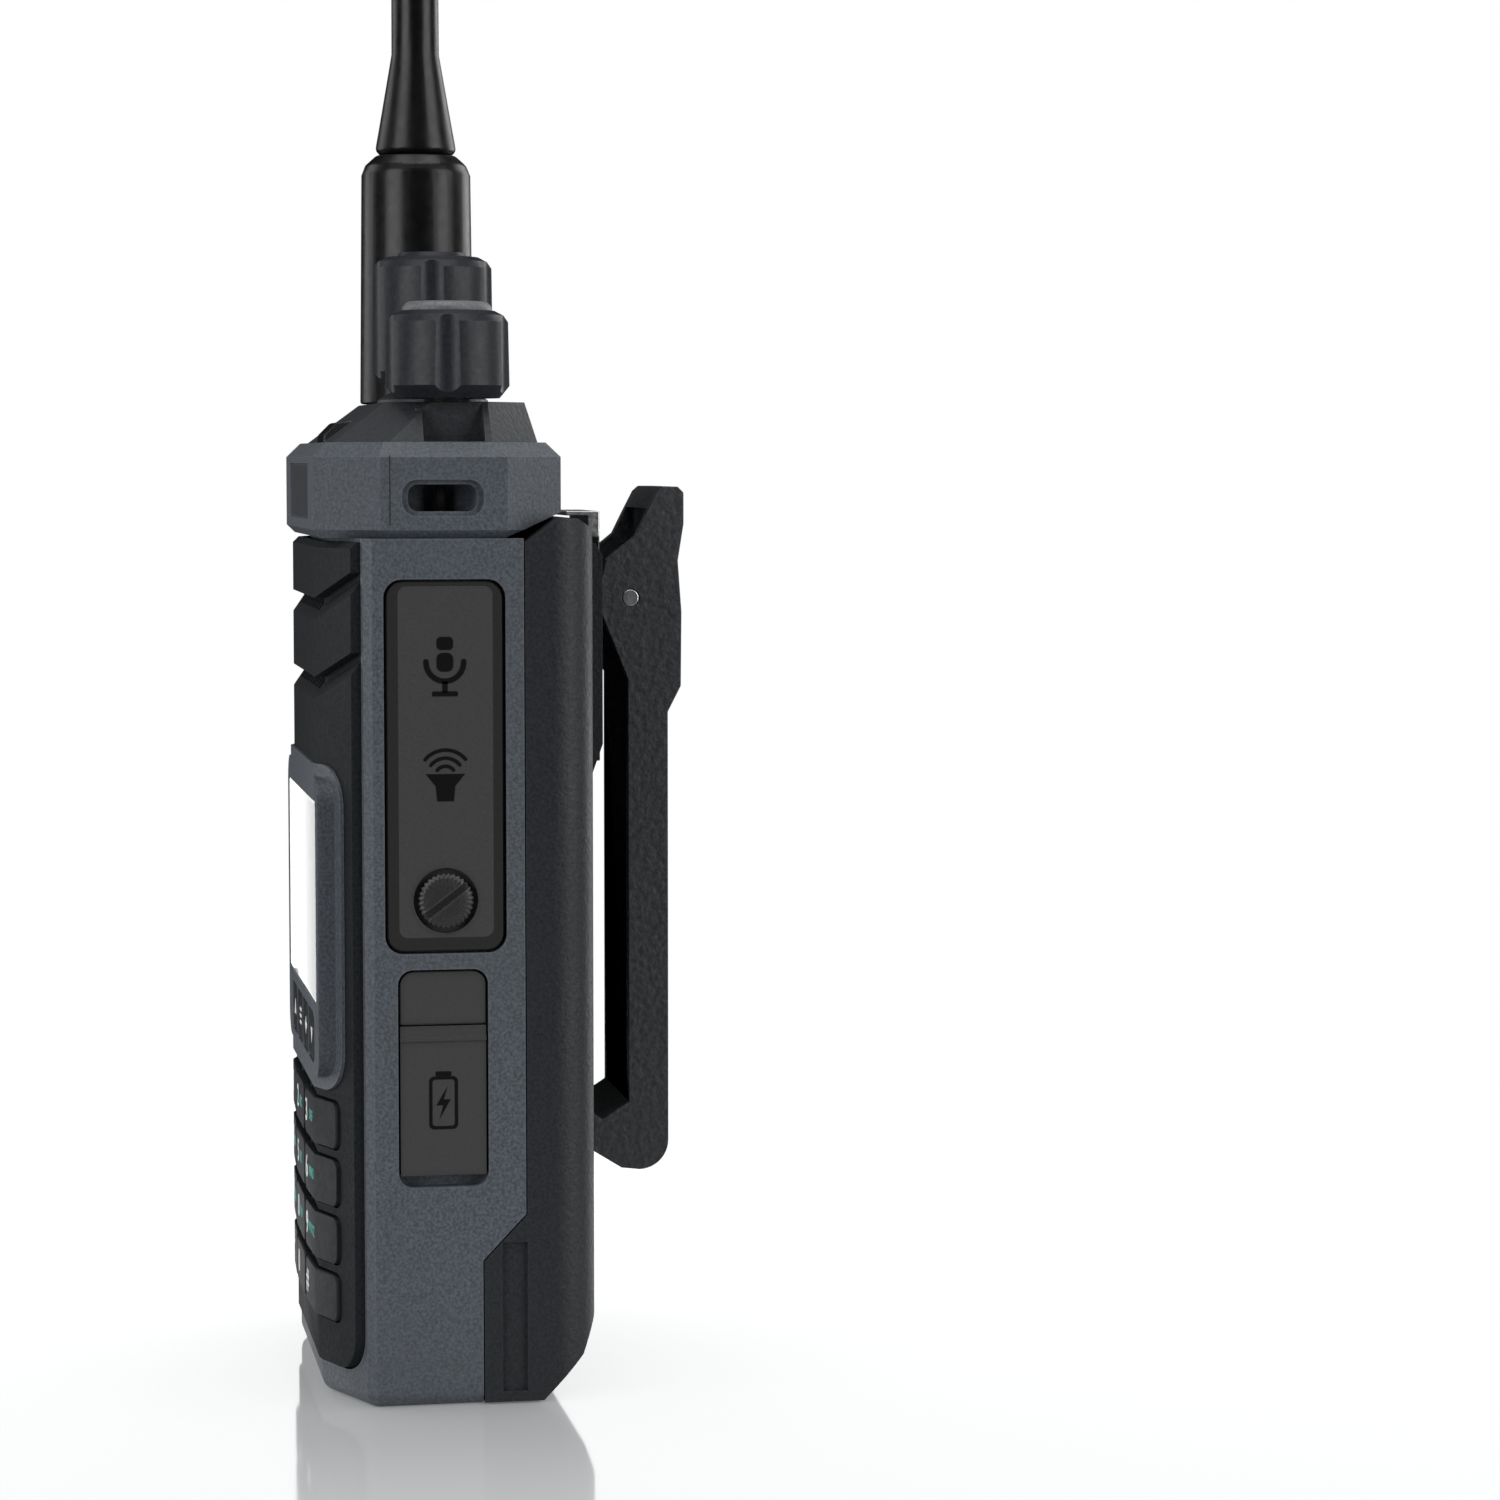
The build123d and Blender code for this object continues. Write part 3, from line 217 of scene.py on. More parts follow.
MATERIALS = {
    "shell_grey": moulded("shell_grey", (0.064, 0.0735, 0.086), 0.5, 1500, 0.08, 0.35, 0.35),
    "panel_black": moulded("panel_black", (0.0115, 0.013, 0.0155), 0.6, 1500, 0.07, 0.35, 0.12, specular=0.1),
    "deck_black": moulded("deck_black", (0.02, 0.023, 0.027), 0.47, 1500, 0.06, 0.3, 0.3),
    "key_rubber": moulded("key_rubber", (0.009, 0.01, 0.012), 0.5, 900, 0.01, 0.15, 0.3, specular=0.15),
    # cover_rubber: its dark edge colour over a 1.5 mm edge radius is painted shade on the cover's bevelled
    # band.
    "cover_rubber": moulded("cover_rubber", (0.04, 0.04, 0.04), 0.6, 2600, 0.008, 0.12, 0.45,
                            (0.01, 0.01, 0.01), 1.5, 0.3),
    "surround_rubber": moulded("surround_rubber", (0.014, 0.016, 0.019), 0.45, 1300, 0.07, 0.3, 0.35),
    # button_black: its lighter edge colour is painted highlight along the button edges, with some wear.
    "button_black": moulded("button_black", (0.024, 0.024, 0.024), 0.5, 2600, 0.008, 0.12, 0.8,
                            (0.085, 0.087, 0.09), 0.7, 0.35),
    "knob_black": moulded("knob_black", (0.013, 0.0155, 0.0195), 0.42, 1100, 0.02, 0.25, 0.3, specular=0.25),
    "cap_grey": moulded("cap_grey", (0.115, 0.118, 0.123), 0.5, 1500, 0.05, 0.25, 0.2),
    "antenna_black": moulded("antenna_black", (0.003, 0.0032, 0.0036), 0.3, 700, 0.001, 0.05, 0.05,
                             specular=0.28),
    "battery_black": moulded("battery_black", (0.0125, 0.0145, 0.0175), 0.5, 1500, 0.09, 0.35, 0.25,
                             specular=0.3),
    "clip_black": moulded("clip_black", (0.03, 0.033, 0.037), 0.5, 900, 0.2, 0.35, 0.3),
    "screw_black": moulded("screw_black", (0.022, 0.022, 0.023), 0.38, 2200, 0.02, 0.3, 0.5, grey(0.1)),
    "bare_steel": moulded("bare_steel", (0.5, 0.51, 0.52), 0.34, 1200, 0.02, 0.15, 0.4, grey(0.8), 0.4, 0.5,
                          metal=1.0, stretch=(1, 1, 0.06)),
    "spring_steel": moulded("spring_steel", (0.3, 0.3, 0.31), 0.32, 1800, 0.01, 0.2, 0.3, grey(0.6),
                            metal=1.0),
    "contact_gold": moulded("contact_gold", (0.72, 0.52, 0.2), 0.28, 1800, 0.01, 0.15, 0.4, (0.9, 0.75, 0.4),
                            metal=1.0),
    "nickel": moulded("nickel", (0.6, 0.58, 0.54), 0.3, 1800, 0.01, 0.12, 0.3, grey(0.85), metal=1.0),
    "display_grey": moulded("display_grey", (0.46, 0.49, 0.51), 0.3, 3000, 0.003, 0.03, 0.1, specular=0.5),
    "board_green": moulded("board_green", (0.02, 0.09, 0.045), 0.4, 700, 0.02, 0.3, 0.2),
    "cast_aluminium": moulded("cast_aluminium", (0.42, 0.42, 0.42), 0.5, 1100, 0.06, 0.2, 0.3, metal=1.0),
    "cell_wrap": moulded("cell_wrap", (0.09, 0.11, 0.16), 0.35, 700, 0.01, 0.1, 0.2),
    "cone_black": moulded("cone_black", (0.02, 0.02, 0.02), 0.7, 900, 0.05, 0.3, 0.2),
    "mesh_black": moulded("mesh_black", (0.012, 0.012, 0.013), 0.55, 2400, 0.12, 0.6, 0.2),
    "socket_black": moulded("socket_black", (0.012, 0.012, 0.012), 0.3, 1500, 0.01, 0.2, 0.3),
    "window_clear": clear("window_clear", (0.93, 0.96, 0.97), 0.03, 1.0),
    "lens_smoke": clear("lens_smoke", (0.05, 0.055, 0.06), 0.06, 0.4),
}

LIP_HEIGHT = 3.4 * MM      # bare edge at the top of the belt clip's base
LIP_WANDER = 0.4 * MM      # how far the scratches move its lower border
LIP_BLEND = 0.3 * MM


def plated(name, dark, bright, lip_z):
    """Black plated steel with a bare lip above lip_z, and lighter edges: painted highlight, with wear."""
    n = Nodes(name)
    shader = n.add("ShaderNodeBsdfPrincipled")
    parts = n.add("ShaderNodeSeparateXYZ")
    n.link(n.place, parts.inputs[0])
    scratch = n.noise(1500, 3.0, (0.08, 1, 1))
    height = n.math("ADD", parts.outputs["Z"], n.math("MULTIPLY", scratch, LIP_WANDER))
    bare = n.span(height, lip_z, lip_z + LIP_BLEND, 0, 1)
    # Edges are lifted towards the bright colour: painted highlight, with wear.
    bare = n.math("MAXIMUM", bare, n.math("MULTIPLY", n.edge(0.3 * MM), 0.5))
    n.link(n.mix(bare, dark, bright), shader.inputs["Base Color"])
    n.link(n.span(scratch, 0.3, 0.7, 0.3, 0.45), shader.inputs["Roughness"])
    shader.inputs["Metallic"].default_value = 1.0
    n.link(shader.outputs[0], n.out.inputs["Surface"])
    return n.material


PAINTS = {
    "plated_steel": plated("plated_steel", grey(0.035), (0.6, 0.61, 0.62), high("clip_base").z - LIP_HEIGHT),
    "legend_white": moulded("legend_white", (0.8, 0.8, 0.8), 0.5, 2500, 0.004, 0.06, 0.2, grey(0.9)),
    "legend_teal": moulded("legend_teal", (0.05, 0.33, 0.27), 0.5, 2500, 0.004, 0.08, 0.2),
    "icon_black": moulded("icon_black", (0.003, 0.003, 0.003), 0.6, 2500, 0.006, 0.1, 0.5, grey(0.07),
                          0.1, 0.1),
    # Near-black for the cover's border, which is painted shade on its bevelled band; also used for the ring's
    # parting lines.
    "bevel_shade_and_seam_black": moulded("bevel_shade_and_seam_black", (0.011, 0.011, 0.011), 0.6, 2600, 0.008, 0.12, 0.2, specular=0.3),
    "bar_grey": moulded("bar_grey", (0.16, 0.185, 0.2), 0.45, 2500, 0.006, 0.1, 0.6, (0.3, 0.33, 0.35), 0.15),
    # Lighter band for the button borders: painted highlight standing for their lit bevels.
    "bevel_highlight_grey": moulded("bevel_highlight_grey", (0.06, 0.06, 0.06), 0.5, 2600, 0.008, 0.12, 0.4, specular=0.3),
    "bar_dark": moulded("bar_dark", (0.09, 0.1, 0.106), 0.45, 2500, 0.006, 0.1, 0.6, (0.18, 0.2, 0.21), 0.15),
    # Near-black for flat pieces that paint shade: the outlines under the button bars, the lanyard post and
    # the battery seam.
    "painted_shade_black": moulded("painted_shade_black", (0.003, 0.003, 0.0035), 0.75, 1200, 0.02, 0.2, 0.1, specular=0.2),
    "plate_grey": moulded("plate_grey", (0.05, 0.055, 0.062), 0.32, 2600, 0.004, 0.08, 0.5, grey(0.2), 0.3),
}

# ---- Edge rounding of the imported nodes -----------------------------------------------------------

ROUNDING_MM = {
    "main_shell": 0.6, "front_panel": 0.55, "top_ring": 0.8, "top_deck": 0.45, "display_bezel": 0.4,
    "battery_case": 0.6, "clip_lever": 0.6, "ptt_surround": 0.5, "ptt_button": 0.45, "side_key_upper": 0.45,
    "side_key_lower": 0.45, "accessory_cover": 0.4, "charge_flap": 0.4, "flap_anchor": 0.3,
    "channel_knob": 0.5, "volume_knob": 0.5, "volume_knob_cap": 0.3, "clip_base": 0.25, "clip_pin": 0.2,
    "antenna_sheath": 0.3, "antenna_whip": 0.3, "status_lens": 0.25, "cover_thumbscrew": 0.2,
    "display_window": 0.15, "accessory_socket": 0.25, "charge_socket": 0.25,
}
KEY_ROUNDING_MM = 0.75
for name, node in NODES.items():
    if name.startswith("key_"):
        ROUNDING_MM[name] = KEY_ROUNDING_MM


ROUNDED_ABOVE = math.radians(26)      # edges sharper than this are rounded
JOINED_BELOW = math.radians(0.6)      # facets flatter than this are joined


def soften(node, width, segments=2):
    """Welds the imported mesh, joins flat facets and rounds the sharp edges."""
    for polygon in node.data.polygons:
        polygon.use_smooth = True
    normals = node.data.attributes.get("custom_normal")
    if normals:
        node.data.attributes.remove(normals)
    weld = node.modifiers.new("weld", "WELD")
    weld.merge_threshold = 2e-6
    flat = node.modifiers.new("flat", "DECIMATE")
    flat.decimate_type = "DISSOLVE"
    flat.angle_limit = JOINED_BELOW
    if width:
        rounding = node.modifiers.new("rounding", "BEVEL")
        rounding.width = width * MM
        rounding.segments = segments
        rounding.limit_method = "ANGLE"
        rounding.angle_limit = ROUNDED_ABOVE
        rounding.use_clamp_overlap = True
        rounding.harden_normals = True
    even = node.modifiers.new("even", "WEIGHTED_NORMAL")
    even.keep_sharp = True
    even.weight = 80


SLOT_OF = {row["node"]: row["material_slot"] for row in frame["record"]["subparts"]}
for name, node in NODES.items():
    node.data.materials.clear()
    node.data.materials.append(MATERIALS[SLOT_OF[name]])
    soften(node, ROUNDING_MM.get(name, 0), 3 if name.startswith("key_") else 2)

# ---- Small pieces: how they are made and placed --------------------------------------------------

def keep(mesh, name, material, body, stands_for=()):
    """Adds a finished mesh, already in place, as a piece that moves with its body."""
    piece = bpy.data.objects.new(name, mesh)
    bpy.context.scene.collection.objects.link(piece)
    mesh.materials.clear()
    mesh.materials.append(material)
    if stands_for:
        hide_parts(*stands_for)
    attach(piece, body)
    return piece


def solid_of(data, name):
    """The mesh of a curve or text, joined up."""
    source = bpy.data.objects.new(name, data)
    bpy.context.scene.collection.objects.link(source)
    mesh = bpy.data.meshes.new_from_object(source.evaluated_get(bpy.context.evaluated_depsgraph_get()))
    bpy.data.objects.remove(source)
    shape = bmesh.new()
    shape.from_mesh(mesh)
    bmesh.ops.remove_doubles(shape, verts=shape.verts, dist=1e-6)
    bmesh.ops.recalc_face_normals(shape, faces=shape.faces)
    shape.to_mesh(mesh)
    shape.free()
    return mesh


def less(mesh, cutter):
    """A mesh with a cutter's shape taken away."""
    body = bpy.data.objects.new("body", mesh)
    tool = bpy.data.objects.new("tool", cutter)
    for o in (body, tool):
        bpy.context.scene.collection.objects.link(o)
    cut = body.modifiers.new("cut", "BOOLEAN")
    cut.operation = "DIFFERENCE"
    cut.object = tool
    bpy.context.view_layer.update()
    result = bpy.data.meshes.new_from_object(body.evaluated_get(bpy.context.evaluated_depsgraph_get()))
    bpy.data.objects.remove(body)
    bpy.data.objects.remove(tool)
    return result


def frame_at(origin, u, v):
    """Placement whose local x and y run along u and v."""
    n = u.cross(v).normalized()
    v = n.cross(u).normalized()
    columns = Matrix((u.normalized(), v, n)).transposed().to_4x4()
    return Matrix.Translation(origin) @ columns


def plate(name, loops, thick, rounding=0.0):
    """A flat piece that stands on local z = 0, from outlines in millimetres. Inner outlines are holes."""
    curve = bpy.data.curves.new(name, "CURVE")
    curve.dimensions = "2D"
    curve.fill_mode = "BOTH"
    for loop in loops:
        spline = curve.splines.new("POLY")
        spline.points.add(len(loop) - 1)
        for point, (u, v) in zip(spline.points, loop):
            point.co = (u * MM, v * MM, 0, 1)
        spline.use_cyclic_u = True
    curve.extrude = (thick / 2 - rounding) * MM
    curve.bevel_depth = rounding * MM
    curve.offset = -rounding * MM
    mesh = solid_of(curve, name)
    mesh.transform(Matrix.Translation((0, 0, thick / 2 * MM)))
    return mesh


TEXT_THICK, TEXT_SWELL = 0.06, 0.02      # millimetres


def lettering(text, size):
    """Printed text that stands on local z = 0, with its middle at the origin. size is in millimetres."""
    curve = bpy.data.curves.new("text", "FONT")
    curve.body = text
    curve.size = size * MM
    curve.extrude = TEXT_THICK / 2 * MM
    curve.align_x = "CENTER"
    curve.align_y = "CENTER"
    curve.offset = TEXT_SWELL * MM
    mesh = solid_of(curve, "text")
    mesh.transform(Matrix.Translation((0, 0, TEXT_THICK / 2 * MM)))
    return mesh


def arc(radius, start, end, steps=24, center=(0, 0)):
    """Points along an arc, in degrees."""
    angles = [math.radians(start + (end - start) * k / steps) for k in range(steps + 1)]
    return [(center[0] + radius * math.cos(a), center[1] + radius * math.sin(a)) for a in angles]


def band(radius, width, start, end, center=(0, 0)):
    """A curved stroke with rounded ends."""
    outer = arc(radius + width / 2, start, end, 24, center)
    inner = arc(radius - width / 2, end, start, 24, center)
    ends = []
    for angle, turn in ((end, 0), (start, 180)):
        tip = (center[0] + radius * math.cos(math.radians(angle)),
               center[1] + radius * math.sin(math.radians(angle)))
        ends.append(arc(width / 2, angle + turn, angle + turn + 180, 8, tip)[1:-1])
    return outer + ends[0] + inner + ends[1]


def rounded(w, h, r, center=(0, 0)):
    """A rectangle with round corners."""
    points = []
    corners = ((w / 2 - r, h / 2 - r, 0), (r - w / 2, h / 2 - r, 90),
               (r - w / 2, r - h / 2, 180), (w / 2 - r, r - h / 2, 270))
    for cx, cy, start in corners:
        points += arc(r, start, start + 90, 8, (center[0] + cx, center[1] + cy))
    return points


def disc_stack(profile, teeth=0, depth=0.0, segments=96):
    """A turned mesh about local z from (radius, height, knurled) rows, in millimetres."""
    shape = bmesh.new()
    rings = []
    for radius, height, knurled in profile:
        ring = []
        for k in range(segments):
            angle = 2 * math.pi * k / segments
            r = radius - (depth * (0.5 + 0.5 * math.cos(teeth * angle)) if knurled else 0)
            ring.append(shape.verts.new((r * MM * math.cos(angle), r * MM * math.sin(angle), height * MM)))
        rings.append(ring)
    for a, b in zip(rings, rings[1:]):
        for k in range(segments):
            after = (k + 1) % segments
            shape.faces.new((a[k], a[after], b[after], b[k]))
    shape.faces.new(list(reversed(rings[0])))
    shape.faces.new(rings[-1])
    bmesh.ops.recalc_face_normals(shape, faces=shape.faces)
    mesh = bpy.data.meshes.new("turned")
    shape.to_mesh(mesh)
    shape.free()
    return mesh


def block(w, h, d, place=Matrix.Identity(4)):
    """A cutter for slots and recesses, in millimetres."""
    shape = bmesh.new()
    bmesh.ops.create_cube(shape, size=1.0, matrix=place @ Matrix.Diagonal((w * MM, h * MM, d * MM, 1)))
    mesh = bpy.data.meshes.new("cutter")
    shape.to_mesh(mesh)
    shape.free()
    return mesh


def tube(name, points, radius):
    """A round wire through these points, in metres."""
    curve = bpy.data.curves.new(name, "CURVE")
    curve.dimensions = "3D"
    curve.bevel_depth = radius * MM
    curve.bevel_resolution = 3
    curve.use_fill_caps = True
    spline = curve.splines.new("POLY")
    spline.points.add(len(points) - 1)
    for point, place in zip(spline.points, points):
        point.co = (*place, 1)
    return solid_of(curve, name)


def hit(node, origin, direction):
    """Where a ray first meets a node, and which way the surface faces there."""
    found, place, normal, _ = NODES[node].ray_cast(origin, direction)
    if not found:
        raise RuntimeError("no surface of " + node + " there")
    return place, normal


def smooth(piece, angle):
    """Smooth shading with the edges sharper than this angle, in degrees, kept sharp."""
    for polygon in piece.data.polygons:
        polygon.use_smooth = True
    piece.data.set_sharp_from_angle(angle=math.radians(angle))


SIDES = {"right": (Y, Z, X), "left": (-Y, Z, -X), "front": (X, Z, -Y), "back": (-X, Z, Y)}


SINK = 0.01 * MM      # how deep a laid-on piece sits in its surface


def stick(mesh, name, node, side, a, z, material):
    """Lays a flat piece on a node's surface. a is the place along the side, x or y, in metres."""
    u, v, n = SIDES[side]
    start = n * 0.5 + Z * z + (Y if side in ("right", "left") else X) * a
    place, normal = hit(node, start, -n)
    u = (u - normal * u.dot(normal)).normalized()
    mesh.transform(frame_at(place - normal * SINK, u, normal.cross(u)))
    return keep(mesh, name, material, BODY_OF[node])


# ---- Accessory cover and charge flap: icons ------------------------------------------------------

ICON_THICK, ICON_ROUND = 0.05, 0.015      # millimetres
cover_y = middle("accessory_cover").y
cover_top = high("accessory_cover").z
mic_z = cover_top - 11.1 * MM
horn_z = cover_top - 25.9 * MM


RIM_MARGIN, RIM_THICK, RIM_SINK = 0.5, 0.03, 0.02      # millimetres


def rim(name, node, widths, radius, material, side=1):
    """A thin flat border round a cover or a button, on the right (1) or left (-1) side of the radio; its
    colour paints the shading of the bevel there. widths are left, right, bottom and top as seen from that
    side, in millimetres."""
    lo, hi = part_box(node)
    left, right, bottom, top = widths
    w, h = (hi.y - lo.y) / MM - RIM_MARGIN, (hi.z - lo.z) / MM - RIM_MARGIN
    inner = rounded(w - left - right, h - bottom - top, radius - 1, ((left - right) / 2, (bottom - top) / 2))
    mesh = plate(name, [rounded(w, h, radius), inner], RIM_THICK)
    face = hit(node, X * side + Y * (lo.y + hi.y) / 2 + Z * (lo.z + 1.5 * MM), -X * side)[0].x
    place = Vector((face - side * RIM_SINK * MM, (lo.y + hi.y) / 2, (lo.z + hi.z) / 2))
    mesh.transform(frame_at(place, Y * side, Z))
    return keep(mesh, name, material, BODY_OF[node])


def icon(name, loops, node, y, z):
    """Lays one printed mark of an icon on a cover."""
    stick(plate(name, loops, ICON_THICK, ICON_ROUND), name, node, "right", y, z, PAINTS["icon_black"])


# A dark flat border on the cover: painted shade standing for its bevelled band.
rim("cover_bevel_shade", "accessory_cover", (1.35, 1.2, 1.6, 0.35), 2.2, PAINTS["bevel_shade_and_seam_black"])
mic = [rounded(2.2, 1.75, 0.6, (0, 3.05)), rounded(2.2, 2.5, 0.8, (0, 0.6)),
       band(2.45, 0.75, 178, 362, (0, 0.6)), rounded(0.75, 1.5, 0.1, (0, -2.6)),
       rounded(3.4, 0.7, 0.2, (0, -3.5))]
for number, loop in enumerate(mic):
    icon("icon_microphone_%d" % number, [loop], "accessory_cover", cover_y, mic_z)

horn = [[(-2.6, 0.9), (-1.3, -0.7), (-1.1, -2.7), (1.1, -2.7), (1.3, -0.7), (2.6, 0.9)]]
for radius, spread in ((1.35, 52), (2.4, 52), (3.45, 50)):
    horn.append(band(radius, 0.5, 90 - spread, 90 + spread, (0, 0.55)))
for number, loop in enumerate(horn):
    icon("icon_speaker_%d" % number, [loop], "accessory_cover", cover_y, horn_z)

flap_y = middle("charge_flap").y
cell_z = low("charge_flap").z + 9.6 * MM
bolt = [(0.55, 2.2), (-0.95, -0.35), (-0.05, -0.35), (-0.55, -2.2), (0.95, 0.45), (0.05, 0.45)]
cell = [("case", [rounded(3.8, 7.0, 0.7), rounded(2.9, 6.1, 0.4)]),
        ("cap", [rounded(2.1, 0.7, 0.2, (0, 3.8))]),
        ("bolt", [bolt])]
for label, loops in cell:
    icon("icon_battery_" + label, loops, "charge_flap", flap_y, cell_z)

# ---- Thumbscrew: knurled head with a slot --------------------------------------------------------

lo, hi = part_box("cover_thumbscrew")
screw_middle = (lo + hi) / 2
head_radius = (hi.y - lo.y) / 2 / MM
tall = (hi.x - lo.x) / MM
SHANK_RADIUS = 1.4
TEETH, TOOTH_DEPTH = 32, 0.22
SLOT_WIDTH, SLOT_DEPTH, SLOT_TURN = 0.95, 1.1, 37
head = [(SHANK_RADIUS, 0, False), (SHANK_RADIUS, tall - 1.2, False), (head_radius - 0.25, tall - 1.2, True),
        (head_radius, tall - 1.05, True), (head_radius, tall - 0.45, True),
        (head_radius - 0.3, tall - 0.2, True), (head_radius - 0.6, tall - 0.1, False), (1.6, tall, False)]
mesh = disc_stack(head, TEETH, TOOTH_DEPTH, 6 * TEETH)
cut = Matrix.Translation((0, 0, tall * MM)) @ Matrix.Rotation(math.radians(SLOT_TURN), 4, "Z")
mesh = less(mesh, block(20, SLOT_WIDTH, SLOT_DEPTH, cut))
mesh.transform(frame_at(Vector((lo.x, screw_middle.y, screw_middle.z)), Y, Z))
smooth(keep(mesh, "thumbscrew_knurled", MATERIALS["screw_black"], BODY_OF["cover_thumbscrew"],
            ["cover_thumbscrew"]), 28)

# ---- Push-to-talk side: raised bars --------------------------------------------------------------

BAR_WIDTH, BAR_HEIGHT, BAR_PROUD = 7.1, 1.15, 0.2
BAR_GAP = 0.5


def bar(name, node, z, material):
    """A raised bar on a button, on a dark flat outline: painted shade standing for a sunk border round it."""
    y = middle(node).y
    groove_shade = rounded(BAR_WIDTH + BAR_GAP, BAR_HEIGHT + BAR_GAP, 0.8)
    # Dark flat outline round the bar: painted shade.
    stick(plate("groove_shade", [groove_shade], 0.03), name + "_groove", node, "left", y, z, PAINTS["painted_shade_black"])
    raised = rounded(BAR_WIDTH, BAR_HEIGHT, 0.55)
    stick(plate("bar", [raised], BAR_PROUD, 0.07), name, node, "left", y, z, material)


# Light grey flat borders on the buttons: painted highlight on their bevels.
for name, widths in (("ptt_button", (1.0, 0.5, 0.45, 0.8)), ("side_key_upper", (1.0, 0.5, 0.45, 0.8)),
                     ("side_key_lower", (1.0, 0.5, 0.4, 0.5))):
    rim(name + "_bevel_highlight", name, widths, 1.2, PAINTS["bevel_highlight_grey"], -1)
bar("ptt_bar", "ptt_button", middle("ptt_button").z, PAINTS["bar_dark"])
side_key_z = middle("side_key_upper").z
for number, offset in enumerate((1.65, -1.65)):
    bar("side_key_bar_%d" % number, "side_key_upper", side_key_z + offset * MM, PAINTS["bar_grey"])

# ---- Keypad legends ------------------------------------------------------------------------------

LETTERS = {"key_1": "", "key_2": "ABC", "key_3": "DEF", "key_4": "GHI", "key_5": "JKL", "key_6": "MNO",
           "key_7": "PQRS", "key_8": "TUV", "key_9": "WXYZ", "key_star": "", "key_0": "", "key_hash": ""}
DIGITS = {"key_star": "*", "key_hash": "#"}
DIGIT_SIZE, LETTER_SIZE = 4.3, 2.0
COLUMN_PITCH = 16 * MM
for key, letters in LETTERS.items():
    lo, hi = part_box(key)
    z = (lo.z + hi.z) / 2
    column = round(((lo.x + hi.x) / 2) / COLUMN_PITCH)
    start = {-1: hi.x - 9.2 * MM, 0: -3.2 * MM, 1: lo.x + 2.0 * MM}[column]
    digit = DIGITS.get(key, key[-1])
    stick(lettering(digit, DIGIT_SIZE), key + "_digit", key, "front", start + 0.4 * MM, z,
          PAINTS["legend_white"])
    if letters:
        stick(lettering(letters, LETTER_SIZE), key + "_letters", key, "front", start + 5.2 * MM, z,
              PAINTS["legend_teal"])

# ---- Function keys: marks ------------------------------------------------------------------------

arrow_left = [(-1.5, 0), (0.1, -1.2), (0.1, -0.35), (1.4, -0.35), (1.4, 0.35), (0.1, 0.35), (0.1, 1.2)]
marks = {"key_up": [[(-1.2, -0.9), (1.2, -0.9), (0, 1.2)]],
         "key_down": [[(-1.2, 0.9), (0, -1.2), (1.2, 0.9)]],
         "key_menu": [rounded(2.6, 0.45, 0.2, (0, v)) for v in (-0.9, 0, 0.9)],
         "key_back": [arrow_left]}
for key, loops in marks.items():
    for number, loop in enumerate(loops):
        stick(plate("mark", [loop], TEXT_THICK), "%s_mark_%d" % (key, number), key, "front",
              middle(key).x, middle(key).z, PAINTS["legend_white"])

# ---- Display glass, just behind its bezel's face -------------------------------------------------

lo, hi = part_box("display_window")
GLASS_BEHIND_BEZEL = 0.08 * MM
glass_face = low("display_bezel").y + GLASS_BEHIND_BEZEL
mesh = plate("glass", [rounded((hi.x - lo.x) / MM, (hi.z - lo.z) / MM, 0.8)], (hi.y - glass_face) / MM, 0.25)
mesh.transform(frame_at(Vector((0, hi.y, (lo.z + hi.z) / 2)), X, Z))
smooth(keep(mesh, "display_glass", MATERIALS["window_clear"], BODY_OF["display_window"],
            ["display_window"]), 30)

# ---- Name plate without a name -------------------------------------------------------------------

ring_lo, ring_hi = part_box("top_ring")
plate_z = (ring_lo.z + ring_hi.z) / 2 - 0.2 * MM
recess_y = hit("top_ring", Vector((0, -0.5, plate_z)), Y)[0].y
mesh = plate("nameplate", [rounded(29.6, 7.0, 0.35)], 0.22, 0.06)
mesh.transform(frame_at(Vector((0, recess_y + 0.01 * MM, plate_z)), X, Z))
keep(mesh, "nameplate_blank", PAINTS["plate_grey"], "housing")

# ---- Ring: one fine parting line on each side ----------------------------------------------------

line_height = (ring_hi.z - ring_lo.z) / MM - 3.4
for side in ("left", "right"):
    stick(plate("line", [rounded(0.14, line_height, 0.05)], 0.02), "ring_parting_" + side, "top_ring", side,
          cover_y - 7.0 * MM, (ring_lo.z + ring_hi.z) / 2, PAINTS["bevel_shade_and_seam_black"])

# ---- Lanyard post: a dark sleeve, painted shade deep in its slot ---------------------------------

SHADE_SLEEVE_RADIUS, SHADE_SLEEVE_REACH = 0.68, 1.7 * MM
post_x, post_y = ring_hi.x - 3.9 * MM, cover_y - 0.1 * MM
post_z = ring_lo.z + 5.25 * MM
ends = [(post_x, post_y, post_z - SHADE_SLEEVE_REACH), (post_x, post_y, post_z + SHADE_SLEEVE_REACH)]
mesh = tube("sleeve", ends, SHADE_SLEEVE_RADIUS)
keep(mesh, "lanyard_post_shade_sleeve", PAINTS["painted_shade_black"], "housing")

# ---- Belt clip: wound spring and screw heads -----------------------------------------------------

